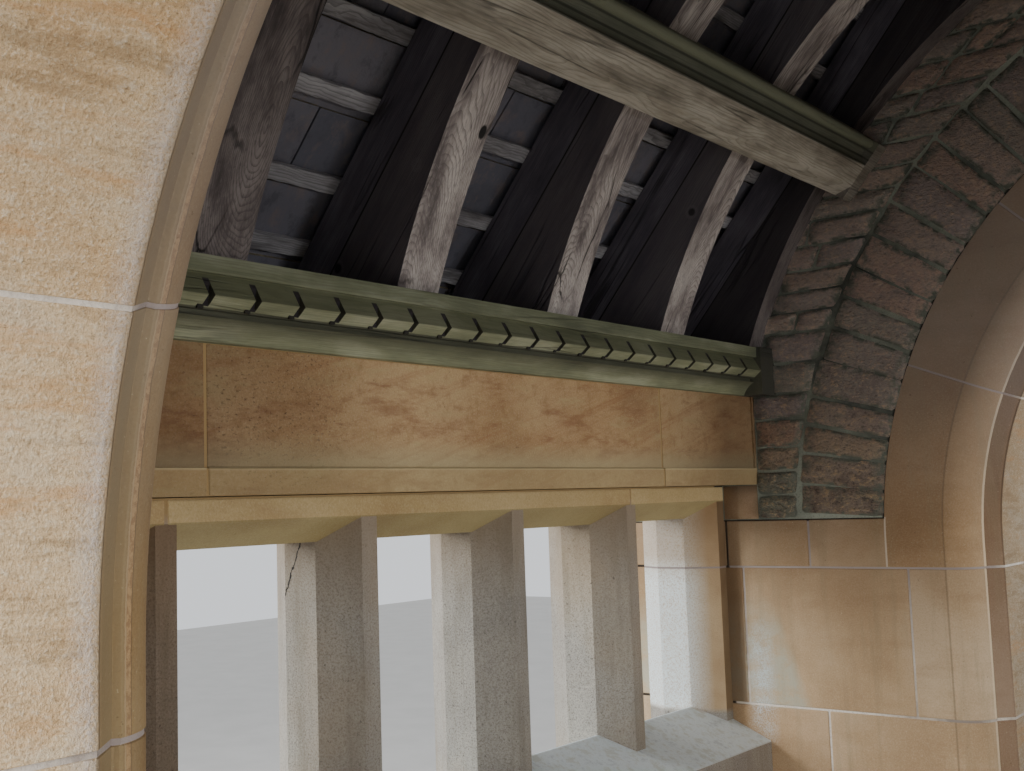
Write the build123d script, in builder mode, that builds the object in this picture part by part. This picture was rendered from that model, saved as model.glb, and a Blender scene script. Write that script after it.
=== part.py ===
import os
from math import cos, radians, sin, tan

from build123d import *

# Sizes in millimetres. X runs across the passage, Y along it, Z up from the ground.

# Walls on plan
inner_half_width = 1631
inner_half_length = 1245
gable_thickness = 450
side_thickness = 444

# Doorways, one through each gable wall
doorway_radius = 971
moulding_width = 118
moulding_depth = 112
ring_depth = 161
rubble_ring_depth = 260
springing_height = 1383
stilt_rise = 76
springing_course_rise = 139
roll_foot_width = 34
roll_foot_depth = 65
splay_head_width = 40
splay_head_depth = 72

# Side windows, open lights between stone mullions
lights_per_side = 5
end_mullion_inset = 17.5
sill_bed_height = 677
sill_edge_rise = 203
sill_weathering_rise = 93
sill_projection = 35
sill_drip_depth = 46
light_height = 558
lintel_splay_rise = 50
fascia_rise = 45
mullion_nose_width = 44
mullion_body_width = 125
reveal_depth = 119
splay_depth = 96
mullion_flat_depth = 96
mullion_chamfer_depth = 74

# Frieze stone over the windows, with a sunk panel over a plain band
band_height = 47
panel_sinking = 5
panel_end_margin = 12
frieze_height = 261

# Oak wall plate on the frieze
plate_depth = 300
plate_height = 138
plate_overhang = 61
plate_board_height = 30
bar_projection = 13
bar_upper_height = 40
bar_upper_setback = 24
bar_lower_height = 20
bar_lower_setback = 25
groove_height = 12
groove_depth = 12
lower_board_overhang = 15
lower_board_hollow = 5
plate_stop_length = 83
notch_pitch = 97.5
notches_each_way = 11
notch_width = 13
notch_rise = 24
notch_fall = 16

# Roof timbers, set out from where the rafters cross the top of the wall plate
roof_pitch = 49.5
rafter_bearing = 268
rafter_depth = 96
rafter_width = 119
eaves_overhang = 145
rib_least_depth = 75
rib_centre_drop = 580
purlin_foot = 655
purlin_width = 178
purlin_depth = 164
purlin_chamfer_run = 43
purlin_chamfer_rise = 26
purlin_roll_radius = 13
purlin_hollow_width = 34
purlin_hollow_depth = 9
purlin_fillet = 6
purlin_stop_length = 62
collar_bed_drop = 91
collar_depth = 220
ridge_board_width = 40
ridge_board_drop = 150

# Roof covering of stone slates on battens
slate_gauge = 171
batten_setback = 75
batten_width = 36
batten_thickness = 20
slate_head_thickness = 12
slate_tail_thickness = 32
slate_eaves_overhang = 55
ridge_stone_wing = 190
ridge_stone_thickness = 38

# Gable parapets
parapet_rise = 60
coping_thickness = 85
coping_overhang = 45
kneeler_projection = 215
kneeler_height = 150
apex_stone_width = 260
apex_stone_rise = 130
spandrel_rise = 1341

# Places worked out from the sizes above
pitch = radians(roof_pitch)
outer_half_width = inner_half_width + side_thickness
outer_half_length = inner_half_length + gable_thickness
arch_centre_height = springing_height + stilt_rise
pier_height = springing_height + springing_course_rise
ring_radius = doorway_radius + moulding_width + ring_depth
rubble_radius = ring_radius + rubble_ring_depth
nose_x = inner_half_width + reveal_depth
flat_x = nose_x + splay_depth
chamfer_x = flat_x + mullion_flat_depth
sill_edge_height = sill_bed_height + sill_edge_rise
sill_ridge_height = sill_edge_height + sill_weathering_rise
light_head_height = sill_ridge_height + light_height
fascia_height = light_head_height + lintel_splay_rise
band_bed_height = fascia_height + fascia_rise
frieze_top_height = band_bed_height + frieze_height
frame_outer_x = chamfer_x + mullion_chamfer_depth
plate_front_x = inner_half_width - plate_overhang
plate_back_x = plate_front_x + plate_depth
plate_top_height = frieze_top_height + plate_height
slates_seat = rafter_depth + batten_thickness
slates_top = slates_seat + slate_tail_thickness
parapet_top = slates_top + parapet_rise
eaves_x = outer_half_width + eaves_overhang
light_pitch = 2 * (inner_half_length - end_mullion_inset) / lights_per_side
couple_places = [light_pitch * (n - lights_per_side / 2) for n in range(lights_per_side + 1)]
rafter_datum_x = plate_front_x + rafter_bearing
rafter_datum_height = plate_top_height

os.makedirs("parts", exist_ok=True)


def height_at(x, outward=0.0):
    """Height at distance x from the centre plane of a line parallel to the rafters."""
    return rafter_datum_height + (rafter_datum_x - x) * tan(pitch) + outward / cos(pitch)


def distance_at(height, outward=0.0):
    """Distance from the centre plane, at a height, of a line parallel to the rafters."""
    return rafter_datum_x + (rafter_datum_height + outward / cos(pitch) - height) / tan(pitch)


def on_slope(along, inward):
    """Left side point, so far up the rafter underside and so far square in from it."""
    across = along * cos(pitch) + inward * sin(pitch)
    up = along * sin(pitch) - inward * cos(pitch)
    return (across - rafter_datum_x, rafter_datum_height + up)


def along_at(x, outward):
    """How far up the slope a line outside the rafters is at distance x from the centre."""
    return (rafter_datum_x - x + outward * sin(pitch)) / cos(pitch)


rib_centre_height = plate_top_height - rib_centre_drop
apex_height = height_at(0)
rib_soffit_radius = (apex_height - rib_centre_height) * cos(pitch) - rib_least_depth
rib_crown_height = rib_centre_height + rib_soffit_radius
collar_bed_height = rib_crown_height - collar_bed_drop
collar_top_height = collar_bed_height + collar_depth
crown_split_height = arch_centre_height + spandrel_rise


def run_along(section, start=-inner_half_length, end=inner_half_length):
    """Extrude a section drawn across the passage from one place along it to another."""
    with BuildPart() as piece:
        with BuildSketch(Plane.XZ.offset(-start)):
            add(section)
        extrude(amount=start - end)
    return piece


def cut_away(piece, *others):
    """Take other pieces out of a piece, so that it seats against them."""
    with BuildPart() as trimmed:
        add(piece)
        for other in others:
            add(other, mode=Mode.SUBTRACT)
    return trimmed.part


def save(part, name):
    part.label = name
    export_step(part, f"parts/{name}.step")


def save_mirrored(part, name, opposite_name, about):
    """Write a piece and its mirror image, and return the image."""
    opposite = mirror(part, about=about)
    save(part, name)
    save(opposite, opposite_name)
    return opposite


# Dwarf walls
with BuildSketch() as dwarf_wall_section:
    with Locations((-inner_half_width, 0)):
        Rectangle(side_thickness, sill_bed_height, align=(Align.MAX, Align.MIN))
dwarf_wall = run_along(dwarf_wall_section.sketch)
save_mirrored(dwarf_wall.part, "left_dwarf_wall", "right_dwarf_wall", Plane.YZ)

# Sills, weathered to both sides of a ridge under the lights
sill_fall = (sill_ridge_height - sill_edge_height) / (flat_x - inner_half_width)
sill_lip_x = outer_half_width + sill_projection
sill_lip_height = sill_ridge_height - (sill_lip_x - flat_x) * sill_fall
with BuildSketch() as sill_section:
    Polygon(
        (-inner_half_width, sill_bed_height),
        (-inner_half_width, sill_edge_height),
        (-flat_x, sill_ridge_height),
        (-sill_lip_x, sill_lip_height),
        (-sill_lip_x, sill_lip_height - sill_drip_depth),
        (-outer_half_width, sill_lip_height - sill_drip_depth),
        (-outer_half_width, sill_bed_height),
        align=None,
    )
sill = run_along(sill_section.sketch)
save_mirrored(sill.part, "left_sill", "right_sill", Plane.YZ)

# Lintels, splayed below to meet the mullions
with BuildSketch() as lintel_section:
    Polygon(
        (-nose_x, band_bed_height),
        (-nose_x, fascia_height),
        (-flat_x, light_head_height),
        (-chamfer_x, light_head_height),
        (-frame_outer_x, fascia_height),
        (-outer_half_width, fascia_height),
        (-outer_half_width, band_bed_height),
        align=None,
    )
lintel = run_along(lintel_section.sketch)
save_mirrored(lintel.part, "left_lintel", "right_lintel", Plane.YZ)

# Mullions, the end ones halved against the gable walls
half_nose = mullion_nose_width / 2
half_body = mullion_body_width / 2
with BuildPart() as mullions:
    with BuildSketch(Plane.XY.offset(sill_edge_height)):
        with Locations(*[(0, place) for place in couple_places]):
            Polygon(
                (-nose_x, half_nose),
                (-flat_x, half_body),
                (-chamfer_x, half_body),
                (-frame_outer_x, half_nose),
                (-frame_outer_x, -half_nose),
                (-chamfer_x, -half_body),
                (-flat_x, -half_body),
                (-nose_x, -half_nose),
                align=None,
            )
        with Locations((-nose_x, 0)):
            Rectangle(
                side_thickness,
                2 * inner_half_length,
                align=(Align.MAX, Align.CENTER),
                mode=Mode.INTERSECT,
            )
    extrude(amount=band_bed_height - sill_edge_height)
    add(sill.part, mode=Mode.SUBTRACT)
    add(lintel.part, mode=Mode.SUBTRACT)
save_mirrored(mullions.part, "left_mullions", "right_mullions", Plane.YZ)

# Friezes, with a sunk panel, their backs cut to the slope for the rafter feet
with BuildSketch() as frieze_section:
    Polygon(
        (-outer_half_width, band_bed_height),
        (-inner_half_width, band_bed_height),
        (-inner_half_width, frieze_top_height),
        (-distance_at(frieze_top_height), frieze_top_height),
        (-outer_half_width, height_at(outer_half_width)),
        align=None,
    )
with BuildPart() as frieze:
    add(run_along(frieze_section.sketch).part)
    with BuildSketch(Plane.YZ.offset(-inner_half_width)):
        with Locations((0, band_bed_height + band_height)):
            Rectangle(
                2 * (inner_half_length - panel_end_margin),
                frieze_top_height - band_bed_height - band_height,
                align=(Align.CENTER, Align.MIN),
            )
    extrude(amount=-panel_sinking, mode=Mode.SUBTRACT)
save_mirrored(frieze.part, "left_frieze", "right_frieze", Plane.YZ)

# Wall plates: a board, an arrised bar, a groove and a hollowed lower board
board_foot = plate_top_height - plate_board_height
arris_height = board_foot - bar_upper_height
bar_foot = arris_height - bar_lower_height
arris_x = plate_front_x - bar_projection
bar_head_x = arris_x + bar_upper_setback
bar_foot_x = arris_x + bar_lower_setback
lower_board_x = inner_half_width - lower_board_overhang
with BuildSketch() as plate_section:
    with BuildLine():
        Polyline(
            (-lower_board_x, frieze_top_height),
            (-plate_back_x, frieze_top_height),
            (-plate_back_x, plate_top_height),
            (-plate_front_x, plate_top_height),
            (-plate_front_x, board_foot),
            (-bar_head_x, board_foot),
            (-arris_x, arris_height),
            (-bar_foot_x, bar_foot),
            (-bar_foot_x - groove_depth, bar_foot),
            (-bar_foot_x - groove_depth, bar_foot - groove_height),
            (-bar_foot_x, bar_foot - groove_height),
        )
        SagittaArc(
            (-bar_foot_x, bar_foot - groove_height),
            (-lower_board_x, frieze_top_height),
            -lower_board_hollow,
        )
    make_face()
with BuildSketch() as stop_section:
    with Locations((-arris_x, frieze_top_height)):
        Rectangle(plate_depth + bar_projection, plate_height, align=(Align.MAX, Align.MIN))
with BuildSketch() as notch_section:
    Polygon(
        (-arris_x - notch_rise * bar_upper_setback / bar_upper_height, arris_height + notch_rise),
        (-arris_x, arris_height),
        (-arris_x - notch_fall * bar_lower_setback / bar_lower_height, arris_height - notch_fall),
        align=None,
    )
moulded_half_length = inner_half_length - plate_stop_length
with BuildPart() as wall_plate:
    with BuildSketch(Plane.XZ.offset(moulded_half_length)):
        add(plate_section.sketch)
    extrude(amount=-2 * moulded_half_length)
    for end in (-1, 1):
        with BuildSketch(Plane.XZ.offset(end * moulded_half_length)):
            add(stop_section.sketch)
        extrude(amount=end * plate_stop_length)
    for n in range(-notches_each_way, notches_each_way + 1):
        with BuildSketch(Plane.XZ.offset(notch_width / 2 - n * notch_pitch)):
            add(notch_section.sketch)
        extrude(amount=-notch_width, mode=Mode.SUBTRACT)
save_mirrored(wall_plate.part, "left_wall_plate", "right_wall_plate", Plane.YZ)

# Purlins, set square to the slope, with a chamfer below and a hollow and roll above
purlin_head = purlin_foot + purlin_width
roll_middle = purlin_depth - purlin_chamfer_rise
hollow_head = purlin_head - 2 * purlin_roll_radius - purlin_fillet
with BuildSketch() as purlin_section:
    with BuildLine():
        Polyline(
            on_slope(purlin_head, roll_middle - purlin_roll_radius),
            on_slope(purlin_head, 0),
            on_slope(purlin_foot, 0),
            on_slope(purlin_foot, purlin_depth - purlin_chamfer_rise),
            on_slope(purlin_foot + purlin_chamfer_run, purlin_depth),
            on_slope(hollow_head - purlin_hollow_width, purlin_depth),
        )
        SagittaArc(
            on_slope(hollow_head - purlin_hollow_width, purlin_depth),
            on_slope(hollow_head, roll_middle),
            purlin_hollow_depth,
        )
        Line(
            on_slope(hollow_head, roll_middle),
            on_slope(hollow_head + purlin_fillet, roll_middle),
        )
        ThreePointArc(
            on_slope(hollow_head + purlin_fillet, roll_middle),
            on_slope(purlin_head - purlin_roll_radius, roll_middle + purlin_roll_radius),
            on_slope(purlin_head, roll_middle),
        )
        Line(
            on_slope(purlin_head, roll_middle),
            on_slope(purlin_head, roll_middle - purlin_roll_radius),
        )
    make_face()
with BuildSketch() as purlin_block:
    Polygon(
        on_slope(purlin_foot, 0),
        on_slope(purlin_foot, purlin_depth),
        on_slope(purlin_head, purlin_depth),
        on_slope(purlin_head, 0),
        align=None,
    )
shaped_half_length = inner_half_length - purlin_stop_length
with BuildPart() as purlin:
    with BuildSketch(Plane.XZ.offset(shaped_half_length)):
        add(purlin_section.sketch)
    extrude(amount=-2 * shaped_half_length)
    for end in (-1, 1):
        with BuildSketch(Plane.XZ.offset(end * shaped_half_length)):
            add(purlin_block.sketch)
        extrude(amount=end * purlin_stop_length)
save_mirrored(purlin.part, "left_purlin", "right_purlin", Plane.YZ)


def couples(section):
    """Repeat a roof timber over each mullion, cut off at the gable walls."""
    with BuildPart() as timbers:
        for place in couple_places:
            near = max(place - rafter_width / 2, -inner_half_length)
            far = min(place + rafter_width / 2, inner_half_length)
            with BuildSketch(Plane.XZ.offset(-near)):
                add(section)
            extrude(amount=near - far)
    return timbers


# Rafters, notched over the wall plate and the frieze
ridge_half_width = ridge_board_width / 2
with BuildSketch() as rafter_section:
    Polygon(
        (-eaves_x, height_at(eaves_x)),
        (-eaves_x, height_at(eaves_x, rafter_depth)),
        (-ridge_half_width, height_at(ridge_half_width, rafter_depth)),
        (-ridge_half_width, height_at(ridge_half_width)),
        align=None,
    )
rafters = cut_away(couples(rafter_section.sketch).part, wall_plate.part, frieze.part)
save_mirrored(rafters, "left_rafters", "right_rafters", Plane.YZ)

# Curved ribs below and above the purlin, framed up under the rafters
with BuildSketch() as rib_section:
    Polygon(
        (-distance_at(plate_top_height), plate_top_height),
        (-distance_at(collar_bed_height), collar_bed_height),
        (0, collar_bed_height),
        (0, plate_top_height),
        align=None,
    )
    with Locations((0, rib_centre_height)):
        Circle(rib_soffit_radius, mode=Mode.SUBTRACT)
ribs = cut_away(couples(rib_section.sketch).part, purlin.part)
save_mirrored(ribs, "left_ribs", "right_ribs", Plane.YZ)

# Collars, hollowed below to carry on the curve of the ribs
with BuildSketch() as collar_section:
    Polygon(
        (-distance_at(collar_bed_height), collar_bed_height),
        (-distance_at(collar_top_height), collar_top_height),
        (distance_at(collar_top_height), collar_top_height),
        (distance_at(collar_bed_height), collar_bed_height),
        align=None,
    )
    with Locations((0, rib_centre_height)):
        Circle(rib_soffit_radius, mode=Mode.SUBTRACT)
collars = couples(collar_section.sketch)
save(collars.part, "collars")

# Ridge board between the heads of the rafters
ridge_board_top = height_at(ridge_half_width, rafter_depth)
ridge_board_foot = height_at(ridge_half_width) - ridge_board_drop
with BuildSketch() as ridge_section:
    with Locations((0, ridge_board_foot)):
        Rectangle(
            ridge_board_width,
            ridge_board_top - ridge_board_foot,
            align=(Align.CENTER, Align.MIN),
        )
ridge_board = run_along(ridge_section.sketch)
save(ridge_board.part, "ridge_board")

# Battens across the rafters, one under each course of slates
slates_lowest = along_at(eaves_x + slate_eaves_overhang, slates_seat)
slates_highest = along_at(0, slates_seat + slate_head_thickness)
course_count = int((slates_highest - slates_lowest) / slate_gauge) + 1
with BuildSketch() as batten_section:
    for n in range(course_count - 1):
        foot = slates_lowest + batten_setback + n * slate_gauge
        Polygon(
            on_slope(foot, -rafter_depth),
            on_slope(foot + batten_width, -rafter_depth),
            on_slope(foot + batten_width, -slates_seat),
            on_slope(foot, -slates_seat),
            align=None,
        )
    mirror(about=Plane.YZ)
battens = run_along(batten_section.sketch)
save(battens.part, "battens")

# Slates, each course thick at its tail over the head of the one below
course_line = [on_slope(slates_lowest, -slates_seat)]
for n in range(course_count):
    tail = slates_lowest + n * slate_gauge
    head = min(tail + slate_gauge, slates_highest)
    course_line.append(on_slope(tail, -slates_top))
    course_line.append(on_slope(head, -slates_seat - slate_head_thickness))
with BuildSketch() as slate_section:
    Polygon(
        *course_line,
        (0, height_at(0, slates_seat)),
        align=None,
    )
slates = run_along(slate_section.sketch)
save_mirrored(slates.part, "left_slates", "right_slates", Plane.YZ)

# Ridge stones, a bent cap over both slopes
ridge_stone_x = ridge_stone_wing * cos(pitch)
ridge_stone_top = slates_top + ridge_stone_thickness
with BuildSketch() as ridge_stone_section:
    Polygon(
        (-ridge_stone_x, height_at(ridge_stone_x, slates_top)),
        (-ridge_stone_x, height_at(ridge_stone_x, ridge_stone_top)),
        (0, height_at(0, ridge_stone_top)),
        (ridge_stone_x, height_at(ridge_stone_x, ridge_stone_top)),
        (ridge_stone_x, height_at(ridge_stone_x, slates_top)),
        (0, height_at(0, slates_top)),
        align=None,
    )
ridge_stones = run_along(ridge_stone_section.sketch)
save(ridge_stones.part, "ridge_stones")


def moulded_sketch(soffit, back):
    """Section through a jamb or arch stone, moulded to the passage and splayed outside."""
    roll_head = (soffit + moulding_width, inner_half_length)
    roll_foot = (soffit + roll_foot_width, inner_half_length + roll_foot_depth)
    splay_head = (soffit + splay_head_width, inner_half_length + splay_head_depth)
    splay_foot = (soffit, inner_half_length + moulding_depth)
    with BuildSketch() as section:
        with BuildLine():
            TangentArc(roll_head, roll_foot, tangent=(-1, 0))
            Polyline(
                roll_foot,
                splay_head,
                splay_foot,
                (soffit, outer_half_length - moulding_depth),
                (soffit + moulding_width, outer_half_length),
                (back, outer_half_length),
                (back, inner_half_length),
                roll_head,
            )
        make_face()
    return section.sketch


# Piers, moulded at the doorway and raised one course above the springing
with BuildPart() as pier_left_back:
    with BuildSketch(Plane.XY):
        add(mirror(moulded_sketch(doorway_radius, outer_half_width), about=Plane.YZ))
    extrude(amount=springing_height)
    with BuildSketch(Plane.XZ.offset(-inner_half_length)):
        with Locations((-outer_half_width, springing_height)):
            Rectangle(
                outer_half_width - ring_radius,
                pier_height - springing_height,
                align=(Align.MIN, Align.MIN),
            )
        with Locations((0, arch_centre_height)):
            Circle(ring_radius, mode=Mode.SUBTRACT)
    extrude(amount=-gable_thickness)

# Arch ring on short stilts, moulded like the piers
with BuildPart() as ring_back:
    with BuildSketch(Plane.XY.offset(arch_centre_height)):
        add(moulded_sketch(doorway_radius, ring_radius))
    revolve(axis=Axis((0, 0, arch_centre_height), (0, 1, 0)), revolution_arc=-180)
    with BuildSketch(Plane.XY.offset(springing_height)):
        add(moulded_sketch(doorway_radius, ring_radius))
        mirror(about=Plane.YZ)
    extrude(amount=arch_centre_height - springing_height)

# Relieving arch of rubble over the ring
with BuildPart() as relieving_back:
    with BuildSketch(Plane.XZ.offset(-inner_half_length)):
        with Locations((0, arch_centre_height)):
            Circle(rubble_radius)
            Circle(ring_radius, mode=Mode.SUBTRACT)
        with Locations((0, pier_height)):
            Rectangle(
                2 * rubble_radius,
                2 * rubble_radius,
                align=(Align.CENTER, Align.MAX),
                mode=Mode.SUBTRACT,
            )
    extrude(amount=-gable_thickness)

# Rubble walling beside the relieving arch, and the peak above it
gable_foot_height = height_at(outer_half_width, parapet_top)
with BuildPart() as spandrel_left_back:
    with BuildSketch(Plane.XZ.offset(-inner_half_length)):
        Polygon(
            (-outer_half_width, pier_height),
            (-outer_half_width, gable_foot_height),
            (-distance_at(crown_split_height, parapet_top), crown_split_height),
            (0, crown_split_height),
            (0, pier_height),
            align=None,
        )
        with Locations((0, arch_centre_height)):
            Circle(rubble_radius, mode=Mode.SUBTRACT)
    extrude(amount=-gable_thickness)
with BuildPart() as peak_back:
    with BuildSketch(Plane.XZ.offset(-inner_half_length)):
        Polygon(
            (-distance_at(crown_split_height, parapet_top), crown_split_height),
            (0, height_at(0, parapet_top)),
            (distance_at(crown_split_height, parapet_top), crown_split_height),
            align=None,
        )
        with Locations((0, arch_centre_height)):
            Circle(rubble_radius, mode=Mode.SUBTRACT)
    extrude(amount=-gable_thickness)

# Copings with a kneeler at each eaves, and a stone at the apex
coping_top = parapet_top + coping_thickness
kneeler_x = outer_half_width + kneeler_projection
kneeler_foot = height_at(outer_half_width, parapet_top) - kneeler_height
half_apex = apex_stone_width / 2
with BuildPart() as coping_left_back:
    with BuildSketch(Plane.XZ.offset(coping_overhang - inner_half_length)):
        Polygon(
            (-half_apex, height_at(half_apex, parapet_top)),
            (-half_apex, height_at(half_apex, coping_top)),
            (-kneeler_x, height_at(kneeler_x, coping_top)),
            (-kneeler_x, height_at(kneeler_x, parapet_top)),
            align=None,
        )
    extrude(amount=-gable_thickness - 2 * coping_overhang)
    with BuildSketch(Plane.XZ.offset(-inner_half_length)):
        Polygon(
            (-kneeler_x, height_at(kneeler_x, coping_top)),
            (-kneeler_x, kneeler_foot),
            (-outer_half_width, kneeler_foot),
            (-outer_half_width, gable_foot_height),
            align=None,
        )
    extrude(amount=-gable_thickness - coping_overhang)
with BuildPart() as apex_back:
    with BuildSketch(Plane.XZ.offset(coping_overhang - inner_half_length)):
        Polygon(
            (-half_apex, height_at(half_apex, parapet_top)),
            (-half_apex, height_at(half_apex, coping_top)),
            (0, height_at(0, coping_top) + apex_stone_rise),
            (half_apex, height_at(half_apex, coping_top)),
            (half_apex, height_at(half_apex, parapet_top)),
            (0, height_at(0, parapet_top)),
            align=None,
        )
    extrude(amount=-gable_thickness - 2 * coping_overhang)

# The far gable is the mirror image of the near one, and each is symmetrical
for piece, name in ((ring_back, "arch"), (relieving_back, "relieving_arch"),
                    (peak_back, "gable_peak"), (apex_back, "apex_stone")):
    save_mirrored(piece.part, f"back_{name}", f"front_{name}", Plane.XZ)
for piece, name in ((pier_left_back, "pier"), (spandrel_left_back, "spandrel"),
                    (coping_left_back, "coping")):
    save_mirrored(piece.part, f"back_left_{name}", f"front_left_{name}", Plane.XZ)
    save_mirrored(mirror(piece.part, about=Plane.YZ), f"back_right_{name}",
                  f"front_right_{name}", Plane.XZ)
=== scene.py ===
import math
import random

import bmesh
import bpy
from mathutils import Matrix, Vector


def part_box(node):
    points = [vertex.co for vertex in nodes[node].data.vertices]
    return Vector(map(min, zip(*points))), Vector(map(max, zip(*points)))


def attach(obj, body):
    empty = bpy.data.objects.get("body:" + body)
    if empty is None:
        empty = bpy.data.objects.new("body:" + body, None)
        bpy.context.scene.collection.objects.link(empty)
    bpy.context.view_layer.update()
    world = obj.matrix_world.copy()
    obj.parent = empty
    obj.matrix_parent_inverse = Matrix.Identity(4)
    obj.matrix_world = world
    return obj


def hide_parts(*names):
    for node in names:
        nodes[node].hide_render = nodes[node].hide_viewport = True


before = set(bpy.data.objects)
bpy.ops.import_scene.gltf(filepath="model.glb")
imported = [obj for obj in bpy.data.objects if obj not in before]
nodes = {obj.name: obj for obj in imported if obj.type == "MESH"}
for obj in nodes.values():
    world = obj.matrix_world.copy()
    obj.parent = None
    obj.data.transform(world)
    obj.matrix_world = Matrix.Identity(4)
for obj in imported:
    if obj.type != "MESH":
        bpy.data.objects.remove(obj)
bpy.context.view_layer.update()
print("frame loaded:", len(nodes), "nodes")

# Roof line, read back from the frame: the rafters cross the top of the wall plate at the datum
roof = {"pitch": math.radians(49.5), "datumX": 1.838, "rafterDepth": 0.096, "battenThickness": 0.020,
        "tailThickness": 0.032, "parapetTop": 0.208}
roof["datumZ"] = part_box("left_wall_plate")[1].z
roof["cos"], roof["sin"] = math.cos(roof["pitch"]), math.sin(roof["pitch"])
roof["seat"] = roof["rafterDepth"] + roof["battenThickness"]

# The doorway arches and the inner faces of the walls
arch = {"centreZ": 1.459, "soffit": 0.971, "ring": 1.250, "rubble": 1.510, "springZ": 1.383, "pierZ": 1.522}
wallX = -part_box("left_frieze")[1].x
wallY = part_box("left_frieze")[1].y
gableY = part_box("back_left_pier")[1].y
outerX = -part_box("left_frieze")[0].x
bayPitch = 0.491

# Moulding round each doorway as seen from inside: places along Y, and reaches from the arch centre
moulding = {"soffitY": 1.355, "splayStartY": 1.3145, "splayEndY": 1.356, "quirkY": 1.308, "paleLineY": 1.305,
            "beadY": 1.3005, "darkLineY": 1.2962, "litArris": 1.014, "near": 1.03, "rollStart": 1.0905}
window = {"footZ": 0.98, "headZ": 1.42, "crackX": -1.895, "crackZ": 1.522, "crackY": -0.308}
purlin = {"hollowUp": 0.766, "middleUp": 0.781, "rollUp": 0.803, "stopY": 1.186}
plate = {"stopY": 1.163, "cutPitch": 0.0975, "cutHalf": 0.0066, "cutFootZ": 1.939, "cutHeadZ": 1.986,
         "barZ": 1.955, "topZ": 1.994}


def slopeX(z, outward=0.0):
    return roof["datumX"] + (roof["datumZ"] + outward / roof["cos"] - z) / math.tan(roof["pitch"])


def paint(red, green, blue):
    # a colour as a screen shows it, turned into the linear value that shaders take
    def linear(part):
        part /= 255
        return part / 12.92 if part <= 0.04045 else ((part + 0.055) / 1.055) ** 2.4
    return (linear(red), linear(green), linear(blue), 1.0)


# Node helpers, for shaders and Geometry Nodes alike: new nodes go into the tree that is on the bench
bench = {"tree": None, "material": None}


class Field:
    # an output of a node that sums can be written with, where each sum adds a node
    def __init__(self, socket):
        self.socket = socket

    def __add__(self, other):
        return maths("ADD", self, other)

    def __sub__(self, other):
        return maths("SUBTRACT", self, other)

    def __rsub__(self, other):
        return maths("SUBTRACT", other, self)

    def __mul__(self, other):
        return maths("MULTIPLY", self, other)

    def __truediv__(self, other):
        return maths("DIVIDE", self, other)

    def __mod__(self, other):
        return maths("MODULO", self, other)

    def __abs__(self):
        return maths("ABSOLUTE", self)


def wire(kind, inputs=None, output=0, **settings):
    made = bench["tree"].nodes.new(kind)
    for key, value in settings.items():
        setattr(made, key, value)
    for key, value in (inputs or {}).items():
        if isinstance(value, Field):
            bench["tree"].links.new(value.socket, made.inputs[key])
        else:
            made.inputs[key].default_value = value
    return Field(made.outputs[output])


def maths(operation, *values):
    return wire("ShaderNodeMath", dict(enumerate(values)), operation=operation)


def larger(first, second):
    return maths("MAXIMUM", first, second)


def smaller(first, second):
    return maths("MINIMUM", first, second)


def distance(first, second):
    return maths("SQRT", first * first + second * second)


def remap(value, low, high, first=0.0, last=1.0):
    return wire("ShaderNodeMapRange",
                {"Value": value, "From Min": low, "From Max": high, "To Min": first, "To Max": last})


def band(value, middle, outer, inner, most=1.0):
    # a line about a place, fading out between two half widths
    return remap(abs(value - middle), outer, inner, 0.0, most)


def parts(vector):
    made = wire("ShaderNodeSeparateXYZ", {0: vector})
    return [Field(socket) for socket in made.socket.node.outputs]


def joined(x, y, z):
    return wire("ShaderNodeCombineXYZ", {0: x, 1: y, 2: z})


def vectors(operation, first, second):
    return wire("ShaderNodeVectorMath", {0: first, 1: second}, operation=operation)


def grain(vector, scale, detail=4.0, roughness=0.55, output="Fac"):
    return wire("ShaderNodeTexNoise",
                {"Vector": vector, "Scale": scale, "Detail": detail, "Roughness": roughness}, output=output)


def ramp(value, stops, mode="LINEAR"):
    made = wire("ShaderNodeValToRGB", {0: value})
    scale = made.socket.node.color_ramp
    scale.interpolation = mode
    for n, (place, colour) in enumerate(stops):
        stop = scale.elements[n] if n < 2 else scale.elements.new(place)
        stop.position = place
        stop.color = paint(*colour)
    return made


def blended(mode, factor, first, second):
    return wire("ShaderNodeMix", {0: factor, 6: first, 7: second}, output=2, data_type="RGBA", blend_type=mode)


def stain(colour, factor, other):
    # lay a colour over another: a painted one, or one that is wired up
    return blended("MIX", factor, colour, other if isinstance(other, Field) else paint(*other))


def shade(colour, factor, other):
    # multiply a colour by shares of red, green and blue, or by a wired one
    return blended("MULTIPLY", factor, colour, other if isinstance(other, Field) else (*other, 1.0))


def mottled(colour, pattern, *layers, within=None):
    # stains where a pattern runs from one level to another, each with its full strength and its colour
    for start, full, strength, other in layers:
        mask = remap(pattern, start, full, 0.0, strength)
        colour = stain(colour, mask * within if within else mask, other)
    return colour


def newMaterial(name):
    # put a new material on the bench, and give back the place of the shaded point
    made = bpy.data.materials.new(name)
    made.use_nodes = True
    bench["material"], bench["tree"] = made, made.node_tree
    return wire("ShaderNodeTexCoord", output="Object")


def finish(colour, roughness, height, strength, deepest):
    bump = wire("ShaderNodeBump", {"Height": height, "Strength": strength, "Distance": deepest})
    inputs = bench["tree"].nodes["Principled BSDF"].inputs
    inputs["Roughness"].default_value = roughness
    bench["tree"].links.new(colour.socket, inputs["Base Color"])
    bench["tree"].links.new(bump.socket, inputs["Normal"])
    return bench["material"]


def stoneTone(name="tone"):
    return wire("ShaderNodeAttribute", output="Fac", attribute_name=name)


def turned():
    return parts(wire("ShaderNodeNewGeometry", output="True Normal"))


def perGable(y, front, back):
    # one value at the front gable, another at the back one
    return remap(y, -0.5, 0.5, front, back)


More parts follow.
